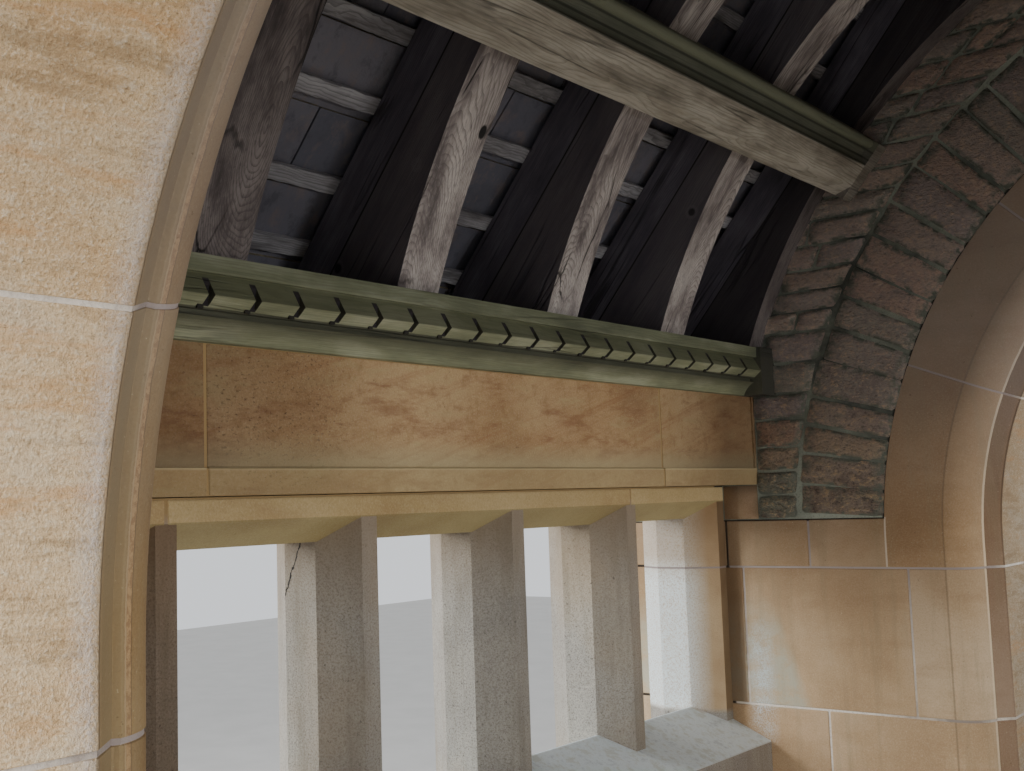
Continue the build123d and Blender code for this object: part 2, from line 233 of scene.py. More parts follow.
# Stone finishes
def soffitMarks(colour, height, x, y, z, reach):
    # the soffits of the doorways keep a tooled face and are the palest, being out of doors
    tooled = remap(reach, arch["soffit"] + 0.002, arch["soffit"] - 0.001)
    tooled *= remap(abs(y), moulding["soffitY"] - 0.01, moulding["soffitY"] + 0.01)
    # painted light: the pale tooled face grows paler still towards its foot
    colour = stain(colour, tooled * perGable(y, 0.62, 0.15) * remap(z, 2.0, 1.2, 0.7, 1.25), (240, 212, 168))
    banded = grain(joined(x, y * 2.2, z * 7.0 + y * 1.6), 1.9, 7.0, 0.7)
    colour = mottled(colour, banded, (0.48, 0.62, 0.55, (206, 166, 118)), (0.47, 0.36, 0.45, (222, 206, 180)),
                     within=tooled)
    coarse = grain(joined(x, y * 0.8, z * 0.8), 350.0, 3.0, 0.72)
    height += coarse * remap(tooled, 0.0, 1.0, 0.1, 2.4)
    colour = mottled(colour, coarse, (0.54, 0.68, 0.5, (255, 244, 220)), (0.46, 0.32, 0.52, (138, 104, 68)),
                     within=tooled)
    # painted shade on the soffit of the back doorway, cooler and darker
    colour = shade(colour, tooled * perGable(y, 0.0, 1.0), (0.8, 0.84, 0.9))
    # thin level beds of rust and shade, and dabs of the tool
    levels = grain(joined(x * 2.0, y * 2.0, z * 16.0), 1.3, 6.0, 0.72)
    colour = mottled(colour, levels, (0.53, 0.63, 0.55, (208, 156, 100)), (0.46, 0.38, 0.55, (160, 132, 96)),
                     within=tooled)
    dabs = grain(joined(x, y, z * 1.6), 62.0, 4.0, 0.7)
    colour = mottled(colour, dabs, (0.58, 0.68, 0.4, (240, 226, 202)), (0.44, 0.34, 0.42, (164, 130, 90)),
                     within=tooled)
    height += dabs * tooled * 3.0
    rubbed = tooled * remap(y, -1.392, -1.364) * perGable(y, 1.0, 0.0) * remap(coarse, 0.36, 0.56, 0.15, 0.7)
    return stain(colour, rubbed, (204, 194, 190)), height, levels


def mouldingMarks(colour, place, y, z, reach, inside, pits):
    # painted shade: the inner faces darken towards the roof, the flat ring most of all
    roll = remap(reach, 1.094, 1.084) * perGable(y, 0.0, 0.38)
    colour = shade(colour, remap(z, 1.02, 1.5) * inside * (1.0 - roll), (0.62, 0.58, 0.56))
    # painted shade on the splay, a pale line painted at its head as the light that the arris catches, and a
    # dark line where the roll starts
    deepness = abs(y) + remap(pits, 0.3, 0.7, -0.0008, 0.0008)
    arris = remap(reach, moulding["litArris"] + 0.006, moulding["litArris"])
    splayShade = remap(deepness, moulding["splayStartY"] - 0.0015, moulding["splayStartY"])
    splayShade *= remap(deepness, moulding["splayEndY"] + 0.002, moulding["splayEndY"]) * arris
    colour = shade(colour, splayShade * perGable(y, 0.15, 0.95), (0.52, 0.48, 0.5))
    quirk = band(deepness, moulding["quirkY"], 0.008, 0.006) * arris
    colour = stain(colour, quirk * perGable(y, 0.0, 0.6), (244, 226, 194))
    # the near side of the front doorway: olive splay, a pale line, a chipped bead and a dark line of painted
    # shadow beside it
    nearby = inside * perGable(y, 1.0, 0.0) * remap(reach, moulding["near"] + 0.02, moulding["near"])
    colour = shade(colour, nearby, (0.76, 0.74, 0.56))
    colour = mottled(colour, deepness, (moulding["quirkY"] - 0.002, moulding["quirkY"], 0.35, (160, 146, 112)),
                     within=nearby)
    colour = stain(colour, nearby * band(deepness, moulding["paleLineY"], 0.0014, 0.0006, 0.5), (206, 182, 146))
    bead = nearby * band(deepness, moulding["beadY"], 0.0036, 0.0028)
    chipped = remap(grain(place, 120.0, 4.0, 0.75), 0.44, 0.56)
    colour = stain(colour, bead * 0.55, (208, 170, 124))
    colour = stain(colour, bead * chipped * 0.6, (124, 90, 60))
    colour = stain(colour, nearby * band(deepness, moulding["darkLineY"], 0.0011, 0.0004, 0.7), (104, 82, 58))
    start = band(reach, moulding["rollStart"], 0.0035, 0.0012)
    return stain(colour, start * inside * 0.45, (104, 88, 66))


def palePatchMask(x, y, z, clouds):
    # beside each window the wall inside has a pale patch above the sill, with a slanting edge
    across = abs(x)
    edge = (z - 0.992) * 0.34 + 1.499 + remap(clouds, 0.3, 0.7, -0.012, 0.012)
    patch = remap(across - edge, -0.004, 0.026) * remap(z, 1.3, 1.16)
    patch *= remap(z, window["footZ"] - 0.005, window["footZ"] + 0.005)
    core = band(across, 1.65, 0.055, 0.01) * remap(z, 1.24, 1.12) * remap(z, 0.86, 0.92)
    inner = remap(abs(y), wallY + 0.004, wallY)
    return patch * inner, core * inner


def wallingMarks(colour, height, place, clouds, sand, pits):
    x, y, z = parts(place)
    reach = distance(x, larger(z - arch["centreZ"], 0.0))
    inside = remap(abs(y), moulding["soffitY"] + 0.01, moulding["soffitY"] - 0.01)
    colour, height, levels = soffitMarks(colour, height, x, y, z, reach)
    colour = mouldingMarks(colour, place, y, z, reach, inside, pits)
    # the joint between the pier and the foot of the ring
    joint = band(reach, arch["ring"], 0.003, 0.0018) * remap(z, arch["springZ"], arch["springZ"] + 0.001)
    joint *= remap(z, arch["pierZ"] + 0.002, arch["pierZ"])
    colour = stain(colour, joint, (214, 198, 178))
    # streaks that run down, pale grit, and a cooler shade high up
    streaks = grain(joined(x * 26.0, y, z * 1.6), 1.0, 5.0, 0.7)
    colour = mottled(colour, streaks, (0.5, 0.7, 0.4, (150, 134, 104)), within=inside)
    colour = mottled(colour, sand, (0.7, 0.76, 0.9, (240, 228, 190)))
    aloft = remap(z, 1.5, 2.05) * inside
    colour = shade(colour, aloft * remap(levels, 0.44, 0.6, 0.75, 1.0), (0.78, 0.84, 0.98))
    colour = stain(colour, aloft * 0.36, (168, 158, 152))
    patch, core = palePatchMask(x, y, z, clouds)
    blotch = remap(grain(place, 14.0, 5.0, 0.7), 0.4, 0.56, 0.35, 1.0)
    colour = stain(colour, patch * blotch * 0.66, (186, 190, 174))
    colour = stain(colour, core * remap(sand, 0.42, 0.56, 0.1, 0.8) * blotch, (214, 228, 234))
    # painted shadow on the gable's face in the corner beside each half mullion
    cornerShadow = band(abs(x), 1.728, 0.034, 0.026) * remap(abs(y), wallY + 0.01, wallY + 0.004)
    cornerShadow *= remap(z, window["footZ"] - 0.005, window["footZ"] + 0.005) * remap(z, 1.5, 1.3, 0.4, 1.0)
    return stain(colour, cornerShadow * 0.75, (112, 88, 62)), height


def friezeMarks(colour, place, foot, arris):
    # slanting red beds, a paler foot to the sunk panel, a pale line painted below it as the light that the
    # arris catches, and painted shade at the ends
    x, y, z = parts(place)
    red = grain(joined(x, y + z * -2.4, z * 9.0 + y * -2.6), 4.2, 7.0, 0.74)
    colour = mottled(colour, red, (0.5, 0.66, 0.38, (150, 96, 58)), (0.44, 0.34, 0.32, (196, 170, 122)))
    level = grain(joined(x, y * 1.5, z * 7.0), 3.2, 7.0, 0.72)
    colour = mottled(colour, level, (0.52, 0.64, 0.55, (138, 92, 62)), (0.45, 0.35, 0.45, (186, 168, 124)))
    scars = grain(joined(x, y * 0.6, z), 170.0, 4.0, 0.75)
    flecks = remap(scars, 0.56, 0.66) * (band(y, -0.6, 0.24, 0.1) + 0.25)
    colour = stain(colour, flecks * 0.55, (84, 54, 34))
    colour = mottled(colour, grain(place, 34.0, 5.0, 0.7), (0.52, 0.68, 0.4, (140, 102, 62)))
    paleFoot = remap(z, foot + 0.06, foot + 0.012) * remap(z, foot - 0.001, foot + 0.001)
    colour = stain(colour, paleFoot * 0.6, (182, 170, 132))
    # painted highlight along the arris below the foot
    litArris = remap(z, foot - arris, foot - 0.001) * remap(z, foot + 0.002, foot)
    colour = stain(colour, litArris * 0.7, (222, 204, 160))
    colour = mottled(colour, z, (foot + 0.004, foot - 0.004, 0.45, (176, 160, 116)))
    # painted shade towards the ends
    endShade = remap(abs(y - 0.12), 0.35, 0.95) * remap(z, foot - 0.002, foot + 0.004, 0.45, 1.0)
    return shade(colour, endShade, (0.51, 0.49, 0.49))


def ashlarMaterial(name, pale, warm, dull, speckle=0.5, walling=False, panelFoot=None, splay=False):
    place = newMaterial(name)
    tone = stoneTone()
    moved = vectors("ADD", place, joined(tone * 7.0, tone * 11.0, 0.0))
    clouds = grain(moved, 2.2, 5.0, 0.6)
    colour = ramp(clouds, [(0.3, dull), (0.46, warm), (0.62, pale)])
    colour = shade(colour, 1.0, ramp(tone, [(0.0, (236, 226, 214)), (0.35, (255, 252, 246)),
                                            (0.7, (250, 240, 224)), (1.0, (242, 228, 216))]))
    beds = grain(vectors("MULTIPLY", moved, (1.0, 1.0, 4.0)), 3.0, 6.0, 0.62)
    colour = stain(colour, remap(beds, 0.52, 0.72) * 0.4, (168, 134, 96))
    sand = grain(place, 260.0, 3.0, 0.7)
    colour = mottled(colour, sand, (0.5, 0.72, 0.22, (238, 226, 204)), (0.48, 0.3, 0.26, (144, 116, 86)))
    pits = grain(place, 95.0, 3.0, 0.75)
    height = grain(place, 210.0, 4.0, 0.65) * 0.35
    if walling:
        colour, height = wallingMarks(colour, height, place, clouds, sand, pits)
    pitMask = remap(pits, 0.66, 0.74)
    colour = stain(colour, pitMask * speckle, (104, 80, 58))
    if panelFoot:
        colour = friezeMarks(colour, place, *panelFoot)
    if splay:
        # the splay under the lintel is olive and duller than its face
        colour = shade(colour, remap(turned()[2], -0.15, -0.4), (0.66, 0.7, 0.64))
    return finish(colour, 0.88, height - pitMask * 0.3, 0.7, 0.004)


def mortarMaterial(name, light, mid, dark, ashlarBed=False, rubbleBed=False):
    place = newMaterial(name)
    x, y, z = parts(place)
    colour = ramp(grain(place, 3.5, 5.0, 0.65), [(0.36, dark), (0.48, mid), (0.58, light)])
    colour = mottled(colour, grain(place, 180.0, 4.0, 0.7), (0.5, 0.3, 0.5, dark))
    if rubbleBed:
        reach = distance(x, z - arch["centreZ"])
        colour = stain(colour, remap(reach, arch["ring"] + 0.01, arch["ring"] + 0.004), (44, 40, 36))
    if ashlarBed:
        inside = remap(abs(y), wallY + 0.12, wallY + 0.09)
        # the joints inside turn greyer and darker upwards: partly their colour, partly painted shade like the
        # stone beside them
        colour = stain(colour, remap(z, 1.0, 1.42) * inside, (168, 156, 152))
        side = remap(z, 1.56, 1.6) * remap(abs(y), wallY, wallY - 0.02)
        colour = stain(colour, side, (168, 140, 96))
        head = remap(z, arch["pierZ"] - 0.008, arch["pierZ"] - 0.004)
        head *= remap(z, arch["pierZ"] + 0.02, arch["pierZ"] + 0.01)
        colour = stain(colour, head * inside, (40, 32, 28))
        corner = remap(abs(x), 1.735, 1.742) * remap(abs(y), 1.19, 1.2)
        colour = stain(colour, corner * inside, (58, 48, 38))
    return finish(colour, 0.95, grain(place, 90.0, 5.0, 0.7), 0.8, 0.004)


def rubbleMaterial():
    place = newMaterial("rubbleStone")
    x, y, z = parts(place)
    tone = stoneTone()
    moved = vectors("ADD", place, joined(tone * 23.0, tone * 17.0, 0.0))
    colour = ramp(tone, [(0.0, (166, 136, 120)), (0.14, (198, 174, 146)), (0.28, (150, 136, 136)),
                         (0.42, (184, 164, 146)), (0.56, (148, 150, 132)), (0.7, (198, 156, 126)),
                         (0.84, (164, 158, 146)), (0.95, (226, 182, 144))], "CONSTANT")
    clouds = grain(moved, 16.0, 5.0, 0.65)
    colour = mottled(colour, clouds, (0.5, 0.66, 0.75, (130, 110, 100)), (0.46, 0.34, 0.55, (184, 168, 144)))
    colour = mottled(colour, grain(moved, 9.0, 5.0, 0.7), (0.54, 0.68, 0.6, (110, 118, 102)))
    crust = grain(place, 105.0, 5.0, 0.72)
    colour = mottled(colour, crust, (0.54, 0.68, 0.8, (222, 190, 146)), (0.45, 0.32, 0.8, (48, 36, 30)))
    flakes = grain(vectors("MULTIPLY", moved, (1.0, 1.0, 1.7)), 46.0, 6.0, 0.78)
    colour = mottled(colour, flakes, (0.54, 0.62, 0.8, (232, 204, 160)), (0.45, 0.37, 0.75, (82, 66, 56)))
    # higher up the inner faces are painted paler and pinker: partly their colour, partly painted light
    high = remap(z, 1.6, 2.1, 0.1, 1.0) * remap(abs(y), wallY + 0.02, wallY + 0.01)
    colour = stain(colour, high * 0.48, (250, 230, 222))
    # mortar smeared over the rims
    smear = remap(stoneTone("rim"), 0.35, 0.9) * remap(grain(place, 40.0, 4.0, 0.6), 0.44, 0.58)
    colour = stain(colour, smear, (140, 146, 132))
    return finish(colour, 0.9, flakes * 1.3 + crust * 0.8, 1.0, 0.022)


def windowMaterial():
    place = newMaterial("windowStone")
    x, y, z = parts(place)
    clouds = grain(place, 3.0, 5.0, 0.6)
    colour = ramp(clouds, [(0.34, (166, 163, 156)), (0.5, (188, 184, 174)), (0.64, (202, 198, 186))])
    sand = grain(place, 240.0, 4.0, 0.75)
    colour = mottled(colour, sand, (0.52, 0.36, 0.75, (120, 111, 102)), (0.56, 0.7, 0.5, (226, 219, 200)))
    colour = mottled(colour, grain(place, 1.3, 4.0, 0.6), (0.5, 0.62, 0.4, (184, 156, 116)))
    stains = grain(joined(x * 22.0, y * 22.0, z * 3.0), 1.0, 6.0, 0.7)
    colour = mottled(colour, stains, (0.48, 0.66, 0.45, (138, 130, 112)))
    colour = mottled(colour, grain(place, 130.0, 3.0, 0.7), (0.62, 0.7, 0.8, (74, 68, 60)))
    # the heads and the splayed sides are browner; the sill's top is weathered pale, and painted paler and bluer
    # still as painted light from the sky
    colour = mottled(colour, z, (1.36, 1.56, 0.7, (158, 134, 102)))
    faceX, faceY, faceZ = turned()
    colour = mottled(colour, abs(faceX), (0.3, 0.38, 0.3, (140, 130, 120)))
    washedAndSkylit = remap(faceZ, 0.35, 0.6) * remap(z, 1.02, 1.0)
    colour = stain(colour, washedAndSkylit * 0.95, (238, 248, 252))
    # the half mullions against the gables are of the same stone as the walls, darker towards the head, and pale
    # near the light: partly bleached stone, partly painted light
    jamb = remap(abs(y), 1.155, 1.16) * remap(z, 0.955, 0.97)
    colour = stain(colour, jamb, ramp(clouds, [(0.36, (184, 156, 120)), (0.6, (208, 184, 148))]))
    colour = shade(colour, remap(z, 1.1, window["headZ"]) * jamb * 0.7, (0.74, 0.66, 0.58))
    bleachAndLight = jamb * remap(abs(x), 1.78, 1.86) * remap(z, window["headZ"], 1.34, 0.35, 1.0)
    colour = stain(colour, bleachAndLight * remap(sand, 0.38, 0.52, 0.35, 1.0), (242, 250, 250))
    # painted shade on the mullions by the front gable, where little light reaches
    colour = shade(colour, remap(y, -0.58, -0.62) * (1.0 - bleachAndLight), (0.64, 0.54, 0.45))
    # painted shade where they meet the gables
    corner = larger(jamb * remap(faceX, 0.5, 0.8), jamb * remap(faceX, -0.5, -0.8))
    colour = shade(colour, corner * remap(abs(x), 1.95, 1.93) * 0.9, (0.5, 0.47, 0.43))
    lichen = grain(place, 24.0, 6.0, 0.74)
    colour = mottled(colour, lichen, (0.5, 0.62, 0.35, (176, 172, 142)), (0.46, 0.34, 0.4, (150, 156, 162)),
                     within=washedAndSkylit)
    # a crack near the head of one mullion
    line = (z - window["crackZ"]) * 0.453 + window["crackX"]
    wave = remap(grain(place, 60.0, 3.0, 0.6), 0.3, 0.7, -0.004, 0.004)
    crack = remap(abs(x - line - wave), 0.0026, 0.0012) * remap(z, 1.405, window["headZ"])
    colour = stain(colour, crack * band(y, window["crackY"], 0.006, 0.004), (30, 26, 22))
    colour = stain(colour, band(z, arch["springZ"], 0.0035, 0.002) * jamb, (156, 144, 140))
    return finish(colour, 0.9, sand + grain(place, 60.0, 4.0, 0.6) * 0.6, 0.7, 0.003)


# Oak: growth rings about a pith line of its own in each timber, fibres, shakes and weathering
oak = {"ringGap": 0.0042, "ringBend": 0.045, "fibres": 260.0, "shakes": 22.0, "lots": 3.7,
       "pithSpread": 0.06, "pithDepth": 0.16, "collarPithZ": 2.9, "beamPithX": 1.2, "beamPithZ": 2.35}


def timberAxes(run, x, y, z):
    # along, across the width and into the depth of a timber, its lot, and where its pith may lie
    bay = maths("FLOOR", y / bayPitch)
    side = maths("SIGN", x)
    if run == "slope":
        along = z * roof["sin"] - abs(x) * roof["cos"]
        deep = z * roof["cos"] + abs(x) * roof["sin"]
        pithDeep = roof["datumZ"] * roof["cos"] + roof["datumX"] * roof["sin"] - oak["pithDepth"]
        return along, y - (bay + 0.5) * bayPitch, deep, bay * oak["lots"] + side, pithDeep
    if run == "across":
        return x, y - (bay + 0.5) * bayPitch, z, bay * oak["lots"], oak["collarPithZ"]
    return y, abs(x), z, side, oak["beamPithZ"]


def oakMaterial(name, run, pale, mid, dark, sideShade=0.0, zone=None, figure=1.0):
    place = newMaterial(name)
    x, y, z = parts(place)
    along, wide, deep, lot, pithDeep = timberAxes(run, x, y, z)
    luck = wire("ShaderNodeTexWhiteNoise", {"W": lot}, output="Color", noise_dimensions="1D")
    luckX, luckY, luckZ = parts(luck)
    pithWide = remap(luckX, 0.0, 1.0, -0.05, 0.05) if run != "along" else oak["beamPithX"]
    pithDeep = remap(luckY, 0.0, 1.0, -oak["pithSpread"], oak["pithSpread"]) + pithDeep
    shift = luckZ * 9.0
    slow = joined(along * 2.4 + shift, wide * 9.0, deep * 9.0)
    radius = distance(wide - pithWide, deep - pithDeep) + grain(slow, 1.0, 3.0, 0.5) * oak["ringBend"]
    ring = maths("FRACT", radius / oak["ringGap"])
    fibre = grain(joined(along * 6.0 + shift, wide * oak["fibres"], deep * oak["fibres"]), 1.0, 4.0, 0.65)
    tonal = grain(slow, 1.8, 4.0, 0.6)
    colour = ramp(tonal, [(0.34 - 0.2 * (1 - figure), dark), (0.5, mid), (0.64, pale)])
    colour = mottled(colour, ring, (0.55, 0.95, 0.6 * figure, dark))
    colour = mottled(colour, fibre, (0.5, 0.3, 0.65 * figure, dark), (0.55, 0.75, 0.5, pale))
    shakeAt = joined(along * 1.1 + shift, wide * oak["shakes"], deep * oak["shakes"])
    wander = grain(shakeAt, 2.0, 3.0, 0.6, output="Color")
    shakeAt = wire("ShaderNodeMix", {0: 0.22, 4: shakeAt, 5: wander}, output=1, data_type="VECTOR")
    edges = wire("ShaderNodeTexVoronoi", {"Vector": shakeAt, "Scale": 1.0}, output="Distance",
                 feature="DISTANCE_TO_EDGE")
    shake = remap(edges, 0.03, 0.008) * remap(grain(slow, 1.3, 2.0, 0.5), 0.5, 0.64, 0.0, figure)
    colour = stain(colour, shake * 0.85, (24, 20, 17))
    if sideShade:
        # painted shade: the sides of each timber are darker and mauve beside its soffit
        sideways = remap(abs(turned()[1]), 0.5, 0.9)
        colour = stain(colour, sideways * sideShade, (74, 69, 78))
        knots = wire("ShaderNodeTexVoronoi",
                     {"Vector": joined(along + shift, lot, deep), "Scale": 4.2, "Randomness": 1.0},
                     output="Distance")
        colour = stain(colour, band(knots, 0.065, 0.02, 0.008, 0.3) * sideways, (122, 114, 120))
        colour = mottled(colour, knots, (0.05, 0.036, 0.85, (22, 19, 22)), within=sideways)
    if zone:
        colour = zone(colour, x, y, z)
    if run == "slope":
        # the rib is a separate timber under the rafter, and a dark seam shows between them
        underside = roof["datumZ"] * roof["cos"] + roof["datumX"] * roof["sin"]
        colour = stain(colour, band(deep, underside, 0.003, 0.0014), (16, 14, 14))
    return finish(colour, 0.82, fibre * 0.7 + ring * 0.3 - shake * 2.2, 0.75, 0.0025)


def purlinZones(colour, x, y, z):
    # the chamfer and face are bleached, the hollow and roll above them are green
    up = (roof["datumX"] - abs(x)) * roof["cos"] + (z - roof["datumZ"]) * roof["sin"]
    shaped = remap(abs(y), purlin["stopY"], purlin["stopY"] - 0.004)
    colour = mottled(colour, up, (purlin["hollowUp"] - 0.002, purlin["hollowUp"] + 0.002, 0.8, (70, 78, 62)),
                     (purlin["rollUp"], purlin["rollUp"] + 0.003, 0.75, (126, 130, 108)), within=shaped)
    # dark lines painted as shadow along the edges of the hollow, the fillet and the roll
    for place in ("hollowUp", "middleUp", "rollUp"):
        colour = stain(colour, band(up, purlin[place], 0.0036, 0.0014, 0.8) * shaped, (40, 42, 34))
    return mottled(colour, abs(y), (purlin["stopY"] - 0.006, purlin["stopY"], 0.55, (74, 66, 58)))


def ribZones(colour, x, y, z):
    # painted shade on the ribs by the gables; one rib has a short crack and an empty peg hole
    endShade = larger(remap(y, -0.6, -0.64), remap(abs(y), 1.1, 1.14))
    colour = shade(colour, endShade, (0.38, 0.36, 0.37))
    crack = remap(abs(y - ((z - 2.375) * 0.2 + -0.296)), 0.003, 0.001)
    crack *= remap(z, 2.372, 2.392) * remap(z, 2.452, 2.436)
    hole = distance(y + 0.203, (z - 2.335) * 0.75)
    mark = larger(crack, remap(hole, 0.011, 0.008))
    return stain(colour, mark * remap(x, 0.1, -0.1), (26, 22, 20))


def plateZones(colour, x, y, z):
    shaped = remap(abs(y), plate["stopY"], plate["stopY"] - 0.003)
    # painted shade on the upper face of the bar, which faces up, away from the light
    upperShade = remap(z, plate["barZ"] - 0.002, plate["barZ"] + 0.002)
    upperShade *= remap(z, plate["topZ"] + 0.002, plate["topZ"] - 0.001)
    colour = stain(colour, upperShade * shaped * 0.6, (70, 74, 52))
    colour = stain(colour, 1.0 - shaped, (64, 63, 54))
    colour = shade(colour, remap(z, plate["topZ"], plate["topZ"] + 0.006), (0.68, 0.7, 0.72))
    # the saw cuts are painted dark inside as shade, and the paint runs a little past the bar's own cuts
    cut = abs(maths("FRACT", y / plate["cutPitch"] + 0.5) - 0.5) * plate["cutPitch"]
    cut = remap(cut, plate["cutHalf"] + 0.0004, plate["cutHalf"] - 0.0004) * shaped
    cut *= remap(z, plate["cutFootZ"] - 0.0005, plate["cutFootZ"] + 0.0005)
    cut *= remap(z, plate["cutHeadZ"] + 0.0015, plate["cutHeadZ"] - 0.001) * remap(abs(x), 1.6, 1.59)
    colour = stain(colour, cut, (34, 29, 32))
    # painted shadow in the groove under the bar
    grooveShade = remap(z, plate["cutFootZ"] - 0.0005, plate["cutFootZ"] - 0.002) * remap(z, 1.898, 1.926)
    return stain(colour, grooveShade * shaped * 0.8, (52, 52, 42))


def slateMaterial():
    place = newMaterial("stoneSlate")
    x, y, z = parts(place)
    tone = stoneTone()
    clouds = grain(place, 7.0, 5.0, 0.65)
    colour = ramp(tone, [(0.0, (98, 99, 110)), (0.3, (112, 111, 121)), (0.6, (103, 104, 116)),
                         (1.0, (120, 118, 126))])
    colour = mottled(colour, clouds, (0.5, 0.7, 0.6, (82, 81, 88)))
    stains = grain(joined(x, y * 1.4, z), 16.0, 6.0, 0.72)
    colour = mottled(colour, stains, (0.52, 0.64, 0.55, (136, 122, 118)), (0.45, 0.36, 0.55, (84, 84, 92)))
    outer = ramp(grain(place, 18.0, 6.0, 0.75), [(0.4, (112, 104, 90)), (0.52, (134, 126, 106)),
                                                 (0.6, (160, 152, 122)), (0.66, (190, 182, 150))])
    outer = stain(outer, 0.35, ramp(tone, [(0.0, (96, 88, 76)), (1.0, (160, 146, 118))]))
    colour = stain(colour, remap(turned()[2], 0.0, 0.3), outer)
    return finish(colour, 0.8, grain(place, 30.0, 6.0, 0.7) + clouds * 0.5, 0.8, 0.005)


def plainMaterial(name, light, dark, scale, roughness, strength=0.4):
    specks = grain(newMaterial(name), scale, 5.0, 0.65)
    colour = ramp(specks, [(0.36, dark), (0.62, light)])
    return finish(colour, roughness, specks, strength, 0.001)


ashlarStone = ashlarMaterial("ashlarStone", (222, 200, 170), (204, 178, 144), (184, 156, 122), 0.4, True)
friezeStone = ashlarMaterial("friezeStone", (204, 178, 138), (186, 156, 115), (158, 128, 92), 0.7,
                             panelFoot=(1.673, 0.004))
lintelStone = ashlarMaterial("lintelStone", (210, 188, 142), (196, 172, 124), (176, 148, 102), 0.4, splay=True)
copingStone = ashlarMaterial("copingStone", (206, 196, 172), (184, 172, 148), (150, 140, 120))
limeMortar = mortarMaterial("limeMortar", (246, 240, 230), (228, 218, 204), (164, 152, 142), True)
rubbleMortar = mortarMaterial("rubbleMortar", (168, 174, 160), (140, 146, 134), (88, 92, 86), rubbleBed=True)
rubbleStone = rubbleMaterial()
windowStone = windowMaterial()
rafterOak = oakMaterial("rafterOak", "slope", (130, 125, 136), (102, 98, 108), (67, 63, 71), 0.35)
ribOak = oakMaterial("ribOak", "slope", (200, 192, 186), (170, 161, 156), (102, 93, 92), 0.85, ribZones)
collarOak = oakMaterial("collarOak", "across", (128, 122, 126), (100, 95, 99), (66, 61, 65), 0.3)
purlinOak = oakMaterial("purlinOak", "along", (190, 184, 170), (164, 157, 142), (100, 94, 82), 0.5, purlinZones,
                        figure=0.6)
plateOak = oakMaterial("plateOak", "along", (160, 162, 134), (136, 139, 108), (98, 101, 78), 0.3, plateZones,
                       figure=0.45)
ridgeOak = oakMaterial("ridgeOak", "along", (128, 122, 126), (100, 95, 99), (66, 61, 65))
battenWood = oakMaterial("battenWood", "along", (178, 177, 180), (152, 150, 153), (100, 97, 99))
stoneSlate = slateMaterial()
pegOak = plainMaterial("pegOak", (46, 44, 36), (24, 22, 18), 60.0, 0.85)
print("materials made:", len(bpy.data.materials))


# Mesh helpers
def mergedCopy(nodeName):
    bm = bmesh.new()
    bm.from_mesh(nodes[nodeName].data)
    bmesh.ops.remove_doubles(bm, verts=bm.verts[:], dist=0.00002)
    return bm


def grow(bm, outward):
    bm.normal_update()
    moves = [vertex.normal * (vertex.calc_shell_factor() * outward) for vertex in bm.verts]
    for vertex, move in zip(bm.verts, moves):
        vertex.co += move


def trim(bm, point, away):
    # cut with a plane, drop what lies on the side that away points to, and close the cut
    if not bm.verts:
        return
    everything = bm.verts[:] + bm.edges[:] + bm.faces[:]
    cut = bmesh.ops.bisect_plane(bm, geom=everything, plane_co=point, plane_no=away, clear_outer=True)
    rim = [item for item in cut["geom_cut"] if isinstance(item, bmesh.types.BMEdge)]
    if rim:
        bmesh.ops.holes_fill(bm, edges=rim, sides=0)


def easeArrises(bm, width):
    flattest, sharpest = 0.012, 0.6
    bmesh.ops.dissolve_limit(bm, angle_limit=flattest, verts=bm.verts[:], edges=bm.edges[:])
    arrises = [edge for edge in bm.edges if len(edge.link_faces) == 2 and edge.calc_face_angle(0) > sharpest]
    bmesh.ops.bevel(bm, geom=arrises, offset=width, segments=1, affect="EDGES", clamp_overlap=True)


class Heap:
    # gathers many closed shapes into one mesh, with a material number and a tone for each
    def __init__(self):
        self.points, self.faces, self.slots, self.tones, self.rims = [], [], [], [], []

    def add(self, points, faces, tone, slot=0, rims=None):
        start = len(self.points)
        self.points.extend(points)
        self.faces.extend([[start + n for n in face] for face in faces])
        self.slots.extend([slot] * len(faces))
        self.tones.extend([tone] * len(points))
        self.rims.extend(rims or [0.0] * len(points))

    def addMesh(self, bm, tone, slot=0):
        bm.verts.index_update()
        self.add([vertex.co.copy() for vertex in bm.verts],
                 [[vertex.index for vertex in face.verts] for face in bm.faces], tone, slot)

    def make(self, name, materials, smoothUpTo=0.35):
        mesh = bpy.data.meshes.new(name)
        mesh.from_pydata(self.points, [], self.faces)
        for material in materials:
            mesh.materials.append(material)
        mesh.polygons.foreach_set("material_index", self.slots)
        for title, values in (("tone", self.tones), ("rim", self.rims)):
            if any(values):
                layer = mesh.attributes.new(title, "FLOAT", "POINT")
                layer.data.foreach_set("value", values)
        mesh.shade_smooth()
        mesh.set_sharp_from_angle(angle=smoothUpTo)
        mesh.update()
        made = bpy.data.objects.new(name, mesh)
        bpy.context.scene.collection.objects.link(made)
        return made


def dress(nodeName, *materials):
    mesh = nodes[nodeName].data
    mesh.materials.clear()
    for material in materials:
        mesh.materials.append(material)


